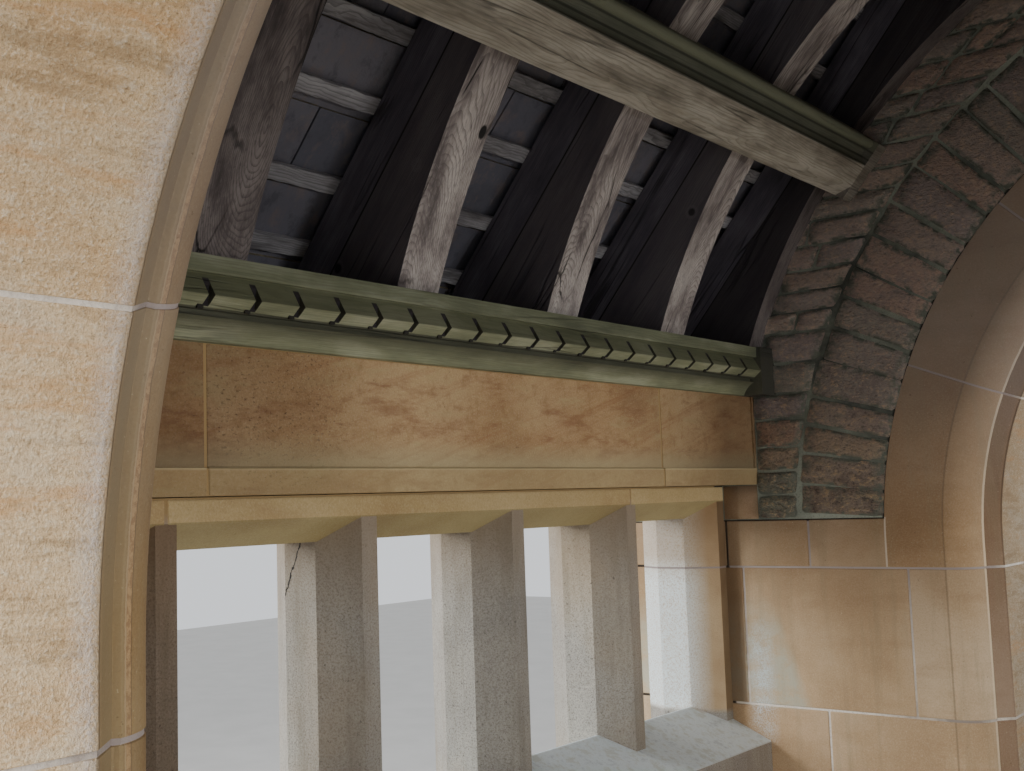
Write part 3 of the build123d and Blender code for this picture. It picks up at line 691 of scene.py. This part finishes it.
# Ashlar: every block is cut from the solid of its node, and stands a little proud of the mortar
ashlar = {
    "joint": 0.0056, "proud": 0.0015, "arris": 0.0022, "seed": 7,
    "pierCourses": ((0.0, 0.183, (1.48,)), (0.183, 0.583, (1.23, 1.65)), (0.583, 0.983, (1.445, 1.78)),
                    (0.983, 1.383, (1.192, 1.692)), (1.383, 1.522, (1.477, 1.743))),
    "dwarfCourses": ((0.0, 0.277, (-0.93, -0.31, 0.31, 0.93)), (0.277, 0.677, (-0.62, 0.0, 0.62))),
    "voussoirs": 8, "firstJoint": {"front": math.radians(19.8), "back": math.radians(22.5)},
    "sillJoints": (-0.5, 0.2455), "lintelJoints": (-0.7365, 0.7365), "friezeJoints": (-0.738, 0.722),
    "copingStones": 6, "copingArris": 0.006, "copingSunk": 0.004, "apexArris": 0.008, "kneeler": 0.62,
    "ridgeStones": 6, "ridgeSunk": 0.003, "cornerX": 1.746, "cornerZ": 1.624,
}
pick = random.Random(ashlar["seed"])


def between(bm, axis, low, high):
    # keep what lies between two places along an axis, less half a joint at each
    gap = ashlar["joint"] / 2
    direction = Vector([float(n == axis) for n in range(3)])
    if low is not None:
        trim(bm, direction * (low + gap), -direction)
    if high is not None:
        trim(bm, direction * (high - gap), direction)


def addBlock(heap, bm, arris=None, slot=0):
    if bm.faces:
        easeArrises(bm, arris or ashlar["arris"])
        heap.addMesh(bm, pick.random(), slot)
    bm.free()


def stoneRow(heap, source, axis, places):
    # cut one run of stones along an axis
    edges = [None, *places, None]
    for start, end in zip(edges, edges[1:]):
        block = source.copy()
        between(block, axis, start, end)
        addBlock(heap, block)


def stoneCourses(heap, source, axis, courses, side=1):
    # level courses from the ground up, each with joints of its own
    for bed, top, joints in courses:
        course = source.copy()
        between(course, 2, bed if bed else -1.0, top)
        trim(course, Vector((0, 0, 0)), Vector((0, 0, -1)))
        stoneRow(heap, course, axis, sorted(side * joint for joint in joints))
        course.free()


def buildPiers():
    for gable in ("front", "back"):
        for wing, xSide in (("left", -1), ("right", 1)):
            name = f"{gable}_{wing}_pier"
            heap = Heap()
            source = mergedCopy(name)
            grow(source, ashlar["proud"])
            stoneCourses(heap, source, 0, ashlar["pierCourses"], xSide)
            source.free()
            piece = heap.make(f"{gable}{wing.capitalize()}PierStones", [ashlarStone])
            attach(piece, "root")
            dress(name, limeMortar)


def buildArches():
    count = ashlar["voussoirs"]
    centre = Vector((0, 0, arch["centreZ"]))
    gap = ashlar["joint"] / 2
    for gable in ("front", "back"):
        name = f"{gable}_arch"
        source = mergedCopy(name)
        grow(source, ashlar["proud"])
        between(source, 2, arch["springZ"], None)
        heap = Heap()
        first = ashlar["firstJoint"][gable]

        def bedAngle(n):
            # radial beds, evenly spaced between the first bed on each side
            return first + (math.pi - 2 * first) * (n - 1) / (count - 2)

        for n in range(count):
            block = source.copy()
            for angle, turn in ((bedAngle(n), -1), (bedAngle(n + 1), 1)):
                # the first and last stones run down past the centre to the springing
                if (n == 0 and turn < 0) or (n == count - 1 and turn > 0):
                    trim(block, Vector((0, 0, 0)), Vector((-1 if n == 0 else 1, 0, 0)))
                    continue
                away = Vector((-math.sin(angle), 0, math.cos(angle))) * turn
                trim(block, centre - away * gap, away)
            addBlock(heap, block)
        source.free()
        piece = heap.make(f"{gable}ArchStones", [ashlarStone])
        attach(piece, "root")
        dress(name, limeMortar)


def buildSides():
    # dwarf walls, sills, lintels and friezes, cut into stones along the wall
    for wing in ("left", "right"):
        plan = (("dwarf_wall", "DwarfWallStones", ashlarStone, "ashlar"),
                ("sill", "SillStones", windowStone, "window_stone"),
                ("lintel", "LintelStones", lintelStone, "frieze_stone"),
                ("frieze", "FriezeStones", friezeStone, "frieze_stone"))
        for part, title, material, slot in plan:
            name = f"{wing}_{part}"
            source = mergedCopy(name)
            grow(source, ashlar["proud"])
            between(source, 1, -wallY - ashlar["joint"] / 2, wallY + ashlar["joint"] / 2)
            heap = Heap()
            if part == "dwarf_wall":
                stoneCourses(heap, source, 1, ashlar["dwarfCourses"])
            else:
                low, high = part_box(name)[0].z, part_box(name)[1].z
                foot = low - (0 if part == "sill" else ashlar["joint"] / 2)
                between(source, 2, foot, high + ashlar["joint"] / 2 if part != "lintel" else high)
                stoneRow(heap, source, 1, ashlar[f"{part}Joints"])
            source.free()
            piece = heap.make(wing + title, [material])
            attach(piece, "root")
            dress(name, limeMortar)
        dress(f"{wing}_mullions", windowStone)


def buildCopings():
    # these make the outline of the whole, so the stones replace the solids at their exact size
    along = Vector((roof["cos"], 0, roof["sin"]))
    for gable in ("front", "back"):
        for wing, side in (("left", 1), ("right", -1)):
            name = f"{gable}_{wing}_coping"
            source = mergedCopy(name)
            low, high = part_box(name)
            direction = Vector((along.x * side, 0, along.z))
            foot = Vector((low.x if side > 0 else high.x, 0, low.z))
            lengths = [(vertex.co - foot).dot(direction) for vertex in source.verts]
            start, end = min(lengths), max(lengths)
            kneeler = start + ashlar["kneeler"]
            step = (end - kneeler) / (ashlar["copingStones"] - 1)
            edges = [None] + [kneeler + step * n for n in range(ashlar["copingStones"] - 1)] + [None]
            heap = Heap()
            gap = ashlar["joint"] / 2
            for first, last in zip(edges, edges[1:]):
                block = source.copy()
                if first is not None:
                    trim(block, foot + direction * (first + gap), -direction)
                if last is not None:
                    trim(block, foot + direction * (last - gap), direction)
                addBlock(heap, block, ashlar["copingArris"])
            grow(source, -ashlar["copingSunk"])
            heap.addMesh(source, 0.5, 1)
            source.free()
            piece = heap.make(f"{gable}{wing.capitalize()}CopingStones", [copingStone, limeMortar])
            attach(piece, "root")
            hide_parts(name)
        name = f"{gable}_apex_stone"
        source = mergedCopy(name)
        heap = Heap()
        addBlock(heap, source, ashlar["apexArris"])
        piece = heap.make(f"{gable}ApexStone", [copingStone])
        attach(piece, "root")
        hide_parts(name)
    source = mergedCopy("ridge_stones")
    heap = Heap()
    count = ashlar["ridgeStones"]
    places = [-wallY + 2 * wallY * n / count for n in range(1, count)]
    stoneRow(heap, source, 1, places)
    grow(source, -ashlar["ridgeSunk"])
    heap.addMesh(source, 0.5, 1)
    source.free()
    piece = heap.make("ridgeStones", [copingStone, limeMortar])
    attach(piece, "root")
    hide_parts("ridge_stones")


buildPiers()
buildArches()
buildSides()
buildCopings()
print("ashlar cut")

# Rubble: a ring of long stones round each doorway, and low rough courses beyond it
rubble = {"seed": 21, "joint": 0.0075, "proud": (0.0045, 0.0105), "voussoirWidth": (0.074, 0.106),
          "lowCourse": (0.068, 0.090), "highCourse": (0.054, 0.072), "changeZ": 2.05,
          "stoneLength": (0.13, 0.27), "corner": 0.0055, "tilt": 0.004, "wobble": 0.003, "longSide": 0.11,
          "leastArea": 0.0012, "leastSide": 0.004, "leastWidth": 0.03, "returnsTop": 1.78, "lift": 0.002}


def clipConvex(outline, point, away):
    kept = []
    for n, here in enumerate(outline):
        there = outline[(n + 1) % len(outline)]
        inside = (here - point).dot(away)
        onward = (there - point).dot(away)
        if inside <= 0:
            kept.append(here)
        if inside * onward < 0:
            kept.append(here.lerp(there, inside / (inside - onward)))
    return kept


def outlineArea(outline):
    return abs(sum(a.x * b.y - b.x * a.y for a, b in zip(outline, outline[1:] + outline[:1]))) / 2


def roughStone(heap, outline, faceY, ySide, luck, tone, slot=0):
    # a pillow shaped stone whose outline is given on the wall face, seen along Y
    if len(outline) < 3 or outlineArea(outline) < rubble["leastArea"]:
        return
    centre = sum(outline, Vector((0, 0))) / len(outline)
    ring = []
    for n, here in enumerate(outline):
        there = outline[(n + 1) % len(outline)]
        edge = there - here
        length = edge.length
        if length < rubble["leastSide"]:
            continue
        cut = min(rubble["corner"] * luck.uniform(0.6, 1.5) / length, 0.3)
        normal = Vector((edge.y, -edge.x)).normalized()
        middles = 1 if length < rubble["longSide"] else 2
        ring.append(here.lerp(there, cut))
        for m in range(middles):
            wobble = normal * luck.uniform(-rubble["wobble"], rubble["wobble"])
            ring.append(here.lerp(there, (m + 1) / (middles + 1)) + wobble)
        ring.append(here.lerp(there, 1 - cut))
    reach = [max((point - centre).length, 0.001) for point in ring]
    proud = luck.uniform(*rubble["proud"])
    # each ring of the pillow: how far in from the edge, what share of the rest, height, roughness
    levels = ((0.0, 1.0, -0.006, 0.0), (0.0, 1.0, proud * 0.50, 0.0012), (0.003, 1.0, proud * 0.90, 0.0024),
              (0.003, 0.55, proud, 0.0036))
    points, faces = [], []
    for inset, share, height, rough in levels:
        for point, far in zip(ring, reach):
            flat = centre + (point - centre) * ((far - min(inset, far * 0.4)) / far * share)
            up = height + luck.uniform(-rough, rough)
            points.append(Vector((flat.x, faceY + ySide * up, flat.y)))
    count = len(ring)
    points.append(Vector((centre.x, faceY + ySide * (proud + luck.uniform(-0.002, 0.003)), centre.y)))
    for level in range(len(levels) - 1):
        for n in range(count):
            here, nxt = level * count + n, level * count + (n + 1) % count
            faces.append([here, nxt, nxt + count, here + count])
    last = (len(levels) - 1) * count
    for n in range(count):
        faces.append([last + n, last + (n + 1) % count, len(points) - 1])
    # the ring runs anticlockwise in X and Z, which faces -Y
    if ySide > 0:
        faces = [face[::-1] for face in faces]
    rims = [1.0] * count * 3 + [0.0] * (count + 1)
    heap.add(points, faces, tone, slot, rims)


def shrink(outline, joint):
    # pull every side of a convex outline in by half a joint
    kept = outline
    for n, here in enumerate(outline):
        edge = outline[(n + 1) % len(outline)] - here
        if edge.length < 0.001:
            continue
        away = Vector((edge.y, -edge.x)).normalized()
        kept = clipConvex(kept, here - away * joint / 2, away)
        if len(kept) < 3:
            return []
    return kept


def voussoirRing(heap, faceY, ySide, luck):
    centre = Vector((0, arch["centreZ"]))
    low = math.asin((arch["pierZ"] - arch["centreZ"]) / arch["ring"])
    middle = (arch["ring"] + arch["rubble"]) / 2
    angle = low
    while angle < math.pi - low - 0.02:
        width = luck.uniform(*rubble["voussoirWidth"]) / middle
        if math.pi - low - angle - width < 0.045:
            width = math.pi - low - angle
        end = angle + width
        top = arch["rubble"] - luck.uniform(0.0, 0.012)
        foot = arch["ring"] - 0.001
        skew = [luck.uniform(-rubble["tilt"], rubble["tilt"]) for n in range(4)]
        corners = []
        for radius, turn, extra in ((foot, angle, skew[0]), (top, angle, skew[1]),
                                    (top, end, skew[2]), (foot, end, skew[3])):
            turn += extra / radius
            corners.append(centre + Vector((math.cos(turn), math.sin(turn))) * radius)
        corners = clipConvex(corners, Vector((0, arch["pierZ"] + rubble["lift"])), Vector((0, -1)))
        roughStone(heap, shrink(corners, rubble["joint"]), faceY, ySide, luck, luck.random())
        angle = end


def coursedRubble(heap, faceY, ySide, luck, inside):
    z = arch["pierZ"] + rubble["lift"]
    outward = -0.002 if inside else roof["parapetTop"]
    top = roof["datumZ"] + roof["datumX"] * math.tan(roof["pitch"]) + outward / roof["cos"]
    crown = arch["centreZ"] + arch["rubble"]
    while z < top - 0.03:
        height = luck.uniform(*(rubble["lowCourse"] if z < rubble["changeZ"] else rubble["highCourse"]))
        limit = min(slopeX(z, outward), outerX)
        if inside and z < roof["datumZ"]:
            limit = wallX if z < 1.87 else wallX - 0.05
        if z + height / 2 > crown:
            spans = [(-limit, -limit, limit, limit)]
        else:
            foot = math.sqrt(max(arch["rubble"] ** 2 - (z - arch["centreZ"]) ** 2, 0.0))
            head = math.sqrt(max(arch["rubble"] ** 2 - (z + height - arch["centreZ"]) ** 2, 0.0))
            spans = [(foot, head, limit, limit), (-limit, -limit, -foot, -head)]
        for footStart, headStart, footEnd, headEnd in spans:
            width = (footEnd + headEnd - footStart - headStart) / 2
            if width < rubble["leastWidth"]:
                continue
            count = max(1, round(width / luck.uniform(*rubble["stoneLength"])))
            shares = [luck.uniform(0.7, 1.3) for n in range(count)]
            done = 0.0
            for share in shares:
                first, last = done / sum(shares), (done + share) / sum(shares)
                done += share
                tilt = [luck.uniform(-rubble["tilt"], rubble["tilt"]) for n in range(4)]
                corners = [Vector((footStart + (footEnd - footStart) * first + tilt[0], z)),
                           Vector((footStart + (footEnd - footStart) * last + tilt[1], z)),
                           Vector((headStart + (headEnd - headStart) * last + tilt[2], z + height)),
                           Vector((headStart + (headEnd - headStart) * first + tilt[3], z + height))]
                for way in (-1, 1):
                    if len(corners) > 2:
                        corners = clipConvex(corners, Vector((way * (slopeX(z, outward) - 0.004), z)),
                                             Vector((way * roof["sin"], roof["cos"])))
                if len(corners) > 2:
                    roughStone(heap, shrink(corners, rubble["joint"]), faceY, ySide, luck, luck.random())
        z += height


def cornerStone(heap, faceY, ySide):
    # the smooth block that closes each lintel against the inner face of the gable
    for side in (-1, 1):
        bm = bmesh.new()
        bmesh.ops.create_cube(bm, size=1.0)
        low = Vector((wallX + 0.002, 0, arch["pierZ"] + 0.0025))
        high = Vector((ashlar["cornerX"], 0, ashlar["cornerZ"]))
        for vertex in bm.verts:
            vertex.co.x = side * (low.x if vertex.co.x * side < 0 else high.x)
            vertex.co.z = low.z if vertex.co.z < 0 else high.z
            vertex.co.y = faceY + (0.0015 if vertex.co.y * ySide > 0 else -0.004) * ySide
        bmesh.ops.recalc_face_normals(bm, faces=bm.faces[:])
        addBlock(heap, bm, 0.001, 1)


def cornerReturns(heap, side, luck):
    # short courses on the outer sides of the walls, above the piers
    for wing in (-1, 1):
        z = arch["pierZ"] + rubble["lift"]
        while z < rubble["returnsTop"]:
            height = luck.uniform(*rubble["lowCourse"])
            split = wallY + (gableY - wallY) * luck.uniform(0.35, 0.65)
            for first, last in ((wallY + 0.004, split), (split, gableY - 0.004)):
                outline = [Vector((first, z)), Vector((last, z)), Vector((last, z + height)),
                           Vector((first, z + height))]
                stone = Heap()
                roughStone(stone, shrink(outline, rubble["joint"]), outerX, 1, luck, 0.0)
                if side * wing > 0:
                    stone.points = [Vector((point.x, -point.y, point.z)) for point in stone.points]
                    stone.faces = [face[::-1] for face in stone.faces]
                swung = [Vector((abs(point.y) * wing, point.x * side, point.z)) for point in stone.points]
                heap.add(swung, stone.faces, luck.random(), 0, stone.rims)
            z += height


def buildRubble():
    for gable, side in (("front", -1), ("back", 1)):
        luck = random.Random(rubble["seed"] + side)
        heap = Heap()
        for inside in (True, False):
            faceY = side * (wallY if inside else gableY)
            ySide = -side if inside else side
            voussoirRing(heap, faceY, ySide, luck)
            coursedRubble(heap, faceY, ySide, luck, inside)
            if inside:
                cornerStone(heap, faceY, ySide)
        cornerReturns(heap, side, luck)
        piece = heap.make(f"{gable}Rubble", [rubbleStone, ashlarStone], 1.2)
        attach(piece, "root")
        dress(f"{gable}_relieving_arch", rubbleMortar)
        dress(f"{gable}_gable_peak", rubbleMortar)
        for wing in ("left", "right"):
            dress(f"{gable}_{wing}_spandrel", rubbleMortar)


buildRubble()
print("rubble laid")


# Geometry Nodes helpers
def newTree(name, whole=(), sized=(), placed=()):
    # put a new tree on the bench, with its whole numbers, sizes and vectors as named inputs
    tree = bpy.data.node_groups.new(name, "GeometryNodeTree")
    bench["tree"] = tree
    tree.interface.new_socket("Geometry", in_out="OUTPUT", socket_type="NodeSocketGeometry")
    for titles, kind in ((whole, "NodeSocketInt"), (sized, "NodeSocketFloat"), (placed, "NodeSocketVector")):
        for title in titles:
            tree.interface.new_socket(title, in_out="INPUT", socket_type=kind)
    entry = tree.nodes.new("NodeGroupInput")
    return tree, {socket.name: Field(socket) for socket in entry.outputs if socket.name}


def closeTree(geometry, material):
    done = wire("GeometryNodeSetMaterial", {"Geometry": geometry, "Material": material})
    last = bench["tree"].nodes.new("NodeGroupOutput")
    bench["tree"].links.new(done.socket, last.inputs[0])


def runTree(name, tree, values):
    # grow the tree's mesh once, with its inputs set by identifier, and keep it as a plain mesh
    holder = bpy.data.objects.new(name + "Holder", bpy.data.meshes.new(name + "Holder"))
    bpy.context.scene.collection.objects.link(holder)
    modifier = holder.modifiers.new(name, "NODES")
    modifier.node_group = tree
    for item in tree.interface.items_tree:
        if item.in_out == "INPUT" and item.name in values:
            modifier[item.identifier] = values[item.name]
    graph = bpy.context.evaluated_depsgraph_get()
    mesh = bpy.data.meshes.new_from_object(holder.evaluated_get(graph))
    holder.modifiers.remove(modifier)
    bpy.data.objects.remove(holder)
    mesh.name = name
    made = bpy.data.objects.new(name, mesh)
    bpy.context.scene.collection.objects.link(made)
    return made


def luckyValue(low, high, ident, seed):
    # a random number for each item; the Float inputs come third and fourth, and its output second
    return wire("FunctionNodeRandomValue", {2: low, 3: high, 7: ident, 8: seed}, output=1, data_type="FLOAT")


def roughen(geometry, scale, amount):
    field = wire("ShaderNodeTexNoise",
                 {"Vector": wire("GeometryNodeInputPosition"), "Scale": scale, "Detail": 2.0}, output="Color")
    level = vectors("SUBTRACT", field, (0.5, 0.5, 0.5))
    moved = wire("ShaderNodeVectorMath", {0: level, "Scale": amount}, operation="SCALE")
    return wire("GeometryNodeSetPosition", {"Geometry": geometry, "Offset": moved})


def roughRows(points, item, amount, scale, **more):
    # set an item on each point with a tone of its own, make them real, and roughen their faces
    rows = wire("GeometryNodeInstanceOnPoints", {"Points": points, "Instance": item, **more})
    tone = luckyValue(0.0, 1.0, wire("GeometryNodeInputIndex"), 3)
    toned = wire("GeometryNodeStoreNamedAttribute", {"Geometry": rows, "Name": "tone", "Value": tone},
                 data_type="FLOAT", domain="INSTANCE")
    return roughen(wire("GeometryNodeRealizeInstances", {"Geometry": toned}), scale, amount)


def tippedUp(geometry, entry):
    # tip what lies flat to the roof's pitch at the datum, and swing it to its side
    slope = joined(0.0, entry["Pitch"] * -1.0, 0.0)
    datum = joined(entry["Datum X"] * -1.0, 0.0, entry["Datum Z"])
    pitched = wire("GeometryNodeTransform", {"Geometry": geometry, "Translation": datum, "Rotation": slope})
    return wire("GeometryNodeTransform", {"Geometry": pitched, "Rotation": joined(0.0, 0.0, entry["Turn"])})


slopeInputs = ("Turn", "Datum X", "Datum Z", "Pitch")
slopeValues = {"Datum X": roof["datumX"], "Datum Z": roof["datumZ"], "Pitch": roof["pitch"]}

# Slates: courses of stone slates of random widths, each course breaking the joints of the last
slates = {"gauge": 0.171, "length": 0.40, "width": 0.330, "thickness": 0.0095, "jitter": 0.050,
          "joint": 0.004, "perCourse": 10, "rough": 0.006,
          "roughScale": 14.0, "narrowest": 0.02}
seatTop = roof["seat"] + roof["tailThickness"]
slateFoot = (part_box("left_slates")[0].x + roof["datumX"] + seatTop * roof["sin"]) / roof["cos"]
slateHead = (roof["datumX"] + roof["seat"] * roof["sin"]) / roof["cos"]
slates["courses"] = int((slateHead - slateFoot) / slates["gauge"]) + 1


def slateTree():
    tree, entry = newTree("slateCourses", ("Courses", "Per Course", "Seed"), (
        "Gauge", "Length", "Width", "Thickness", "Jitter", "Joint", "Half Length", "Foot", "Head", "Seat",
        "Tail Rise", "Rough", *slopeInputs))
    count = entry["Courses"] * entry["Per Course"]
    line = wire("GeometryNodeMeshLine", {"Count": count, "Offset": (0.0, 0.0, 0.0)})
    index = wire("GeometryNodeInputIndex")
    course = maths("FLOOR", index / entry["Per Course"])
    column = index - course * entry["Per Course"] - course % 2.0 * 0.5
    # both sides of a joint draw the same number, so that neighbours stay a joint apart
    edge = column * entry["Width"] - entry["Half Length"]
    near = edge + luckyValue(-1.0, 1.0, index, entry["Seed"]) * entry["Jitter"]
    far = edge + entry["Width"] + luckyValue(-1.0, 1.0, index + 1.0, entry["Seed"]) * entry["Jitter"]
    near = larger(near, entry["Half Length"] * -1.0)
    far = smaller(far, entry["Half Length"])
    wide = far - near - entry["Joint"]
    tail = entry["Foot"] + course * entry["Gauge"]
    long = smaller(tail + entry["Length"], entry["Head"]) - tail
    thick = entry["Thickness"] * luckyValue(0.8, 1.0, index, 5)
    level = entry["Seat"] + entry["Tail Rise"] * (1.0 - long / entry["Length"] * 0.5) + entry["Thickness"] * 0.5
    middle = joined(tail + long * 0.5, (far + near) * 0.5, level)
    points = wire("GeometryNodeSetPosition", {"Geometry": line, "Position": middle})
    cube = wire("GeometryNodeMeshCube",
                {"Size": (1.0, 1.0, 1.0), "Vertices X": 4, "Vertices Y": 4, "Vertices Z": 2})
    lean = maths("ARCTANGENT", entry["Tail Rise"] / entry["Length"])
    turn = wire("FunctionNodeEulerToRotation", {0: joined(0.0, lean, luckyValue(-0.006, 0.006, index, 9))})
    keep = wire("FunctionNodeCompare", {"A": wide, "B": slates["narrowest"]}, data_type="FLOAT",
                operation="GREATER_THAN")
    rows = roughRows(points, cube, entry["Rough"], slates["roughScale"], Selection=keep,
                     Rotation=turn, Scale=joined(long, wide, thick))
    closeTree(tippedUp(rows, entry), stoneSlate)
    return tree


def buildSlates():
    tree = slateTree()
    for wing, turn, seed in (("left", 0.0, 4), ("right", math.pi, 8)):
        piece = runTree(f"{wing}SlateCourses", tree, {
            "Courses": slates["courses"], "Per Course": slates["perCourse"], "Gauge": slates["gauge"],
            "Length": slates["length"], "Width": slates["width"], "Thickness": slates["thickness"],
            "Jitter": slates["jitter"], "Joint": slates["joint"], "Half Length": wallY,
            "Foot": slateFoot + 0.002, "Head": slateHead - 0.004, "Seat": roof["seat"],
            "Tail Rise": roof["tailThickness"] - slates["thickness"] - 0.002, "Rough": slates["rough"],
            "Seed": seed, "Turn": turn, **slopeValues})
        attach(piece, "root")
        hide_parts(f"{wing}_slates")


# Battens: rough sawn laths along the roof, a little uneven in line and spacing
battens = {"width": 0.036, "setback": 0.075, "uneven": 0.008, "rough": 0.009, "roughScale": 30.0, "steps": 140}


def battenTree():
    tree, entry = newTree("battenRows", ("Rows",), (
        "Gauge", "Width", "Thickness", "Length", "Foot", "Seat", "Uneven", "Rough", *slopeInputs))
    line = wire("GeometryNodeMeshLine", {"Count": entry["Rows"], "Offset": (0.0, 0.0, 0.0)})
    index = wire("GeometryNodeInputIndex")
    swap = (index % 2.0 - 0.5) * 2.0
    along = entry["Foot"] + swap * entry["Uneven"] + index * entry["Gauge"] + entry["Width"] * 0.5
    points = wire("GeometryNodeSetPosition", {"Geometry": line, "Position": joined(along, 0.0, entry["Seat"])})
    bar = wire("GeometryNodeMeshCube",
               {"Size": (1.0, 1.0, 1.0), "Vertices X": 3, "Vertices Y": battens["steps"], "Vertices Z": 2})
    rows = roughRows(points, bar, entry["Rough"], battens["roughScale"],
                     Scale=joined(entry["Width"], entry["Length"], entry["Thickness"]))
    closeTree(tippedUp(rows, entry), battenWood)
    return tree


def buildBattens():
    tree = battenTree()
    for wing, turn in (("left", 0.0), ("right", math.pi)):
        piece = runTree(f"{wing}BattenRows", tree, {
            "Rows": slates["courses"] - 1, "Gauge": slates["gauge"], "Width": battens["width"],
            "Thickness": roof["battenThickness"] - 0.004, "Length": 2 * wallY - 0.006,
            "Foot": slateFoot + battens["setback"], "Seat": roof["rafterDepth"] + roof["battenThickness"] / 2,
            "Uneven": battens["uneven"], "Rough": battens["rough"], "Turn": turn, **slopeValues})
        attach(piece, "root")
        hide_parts("battens")


buildSlates()
buildBattens()
print("roof covered")

# Small dark nicks along the foot of the bar, one beside each saw cut of the wall plates
nicks = {"count": 23, "pitch": plate["cutPitch"], "setOff": -0.0105, "size": (0.004, 0.012, 0.007),
         "below": 0.087, "behind": 0.0545, "rough": 0.002, "roughScale": 160.0, "seed": 5}


def nickTree():
    tree, entry = newTree("plateNicks", ("Count", "Seed"), ("Pitch",), ("Start", "Size"))
    line = wire("GeometryNodeMeshLine", {"Count": entry["Count"], "Start Location": entry["Start"],
                                         "Offset": joined(0.0, entry["Pitch"], 0.0)})
    cube = wire("GeometryNodeMeshCube",
                {"Size": entry["Size"], "Vertices X": 2, "Vertices Y": 3, "Vertices Z": 3})
    scale = luckyValue(0.7, 1.15, wire("GeometryNodeInputIndex"), entry["Seed"])
    rows = wire("GeometryNodeInstanceOnPoints", {"Points": line, "Instance": cube, "Scale": scale})
    real = wire("GeometryNodeRealizeInstances", {"Geometry": rows})
    closeTree(roughen(real, nicks["roughScale"], nicks["rough"]), pegOak)
    return tree


def buildNicks():
    tree = nickTree()
    for wing, side in (("left", -1), ("right", 1)):
        first = -nicks["pitch"] * (nicks["count"] - 1) / 2 + nicks["setOff"]
        height = roof["datumZ"] - nicks["below"]
        piece = runTree(f"{wing}PlateNicks", tree, {
            "Count": nicks["count"], "Pitch": nicks["pitch"], "Size": nicks["size"], "Seed": nicks["seed"],
            "Start": (side * (wallX - nicks["behind"]), first, height)})
        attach(piece, "root")


buildNicks()

# Timbers keep their solids and take their finish
for wing in ("left", "right"):
    dress(f"{wing}_rafters", rafterOak)
    dress(f"{wing}_ribs", ribOak)
    dress(f"{wing}_purlin", purlinOak)
    dress(f"{wing}_wall_plate", plateOak)
dress("collars", collarOak)
dress("ridge_board", ridgeOak)
print("timbers finished")

# Floor, light and camera
floorMesh = bpy.data.meshes.new("floor")
half = 14
floorMesh.from_pydata([(-half, -half, 0), (half, -half, 0), (half, half, 0), (-half, half, 0)], [],
                      [(0, 1, 2, 3)])
floor = bpy.data.objects.new("floor", floorMesh)
bpy.context.scene.collection.objects.link(floor)
floorMesh.materials.append(plainMaterial("floorPale", (196, 194, 190), (190, 188, 184), 3.0, 0.9, 0.0))

# each lamp: its place, size, power and spread in degrees, all aimed at the middle of the passage
lights = {"sky": 1.0, "front": (0.3, -5.0, 3.7, 1.6, 220.0, 180), "left": (-5.6, -1.6, 2.8, 2.0, 240.0, 180),
          "jamb": (4.0, -2.45, 1.2, 1.0, 26.5, 120), "right": (5.3, 0.3, 0.80, 0.9, 36.0, 80)}
aim = Vector((-0.5, 0, 1.3))
world = bpy.data.worlds.new("softSky")
world.use_nodes = True
world.node_tree.nodes["Background"].inputs[0].default_value = (0.93, 0.96, 1.0, 1.0)
world.node_tree.nodes["Background"].inputs[1].default_value = lights["sky"]
bpy.context.scene.world = world
for title in ("front", "left", "jamb", "right"):
    x, y, z, size, power, spread = lights[title]
    lamp = bpy.data.lights.new(title + "Softbox", "AREA")
    lamp.size = size
    lamp.energy = power
    lamp.spread = math.radians(spread)
    lampObject = bpy.data.objects.new(title + "Softbox", lamp)
    lampObject.location = (x, y, z)
    lampObject.rotation_euler = (aim - Vector((x, y, z))).to_track_quat("-Z", "Y").to_euler()
    bpy.context.scene.collection.objects.link(lampObject)

camData = bpy.data.cameras.new("photoCamera")
camData.lens = 41.87
camData.sensor_width = 36.0
cam = bpy.data.objects.new("photoCamera", camData)
bpy.context.scene.collection.objects.link(cam)
# its axes and place come from the vanishing points of the photograph
right = Vector((0.778, 0.6276, -0.0336))
up = Vector((0.087, -0.0545, 0.9948))
back = Vector((0.6223, -0.7766, -0.0969))
axes = Matrix((right, up, back)).transposed().to_4x4()
cam.matrix_world = Matrix.Translation((0.033, -1.984, 1.600)) @ axes
bpy.context.scene.camera = cam
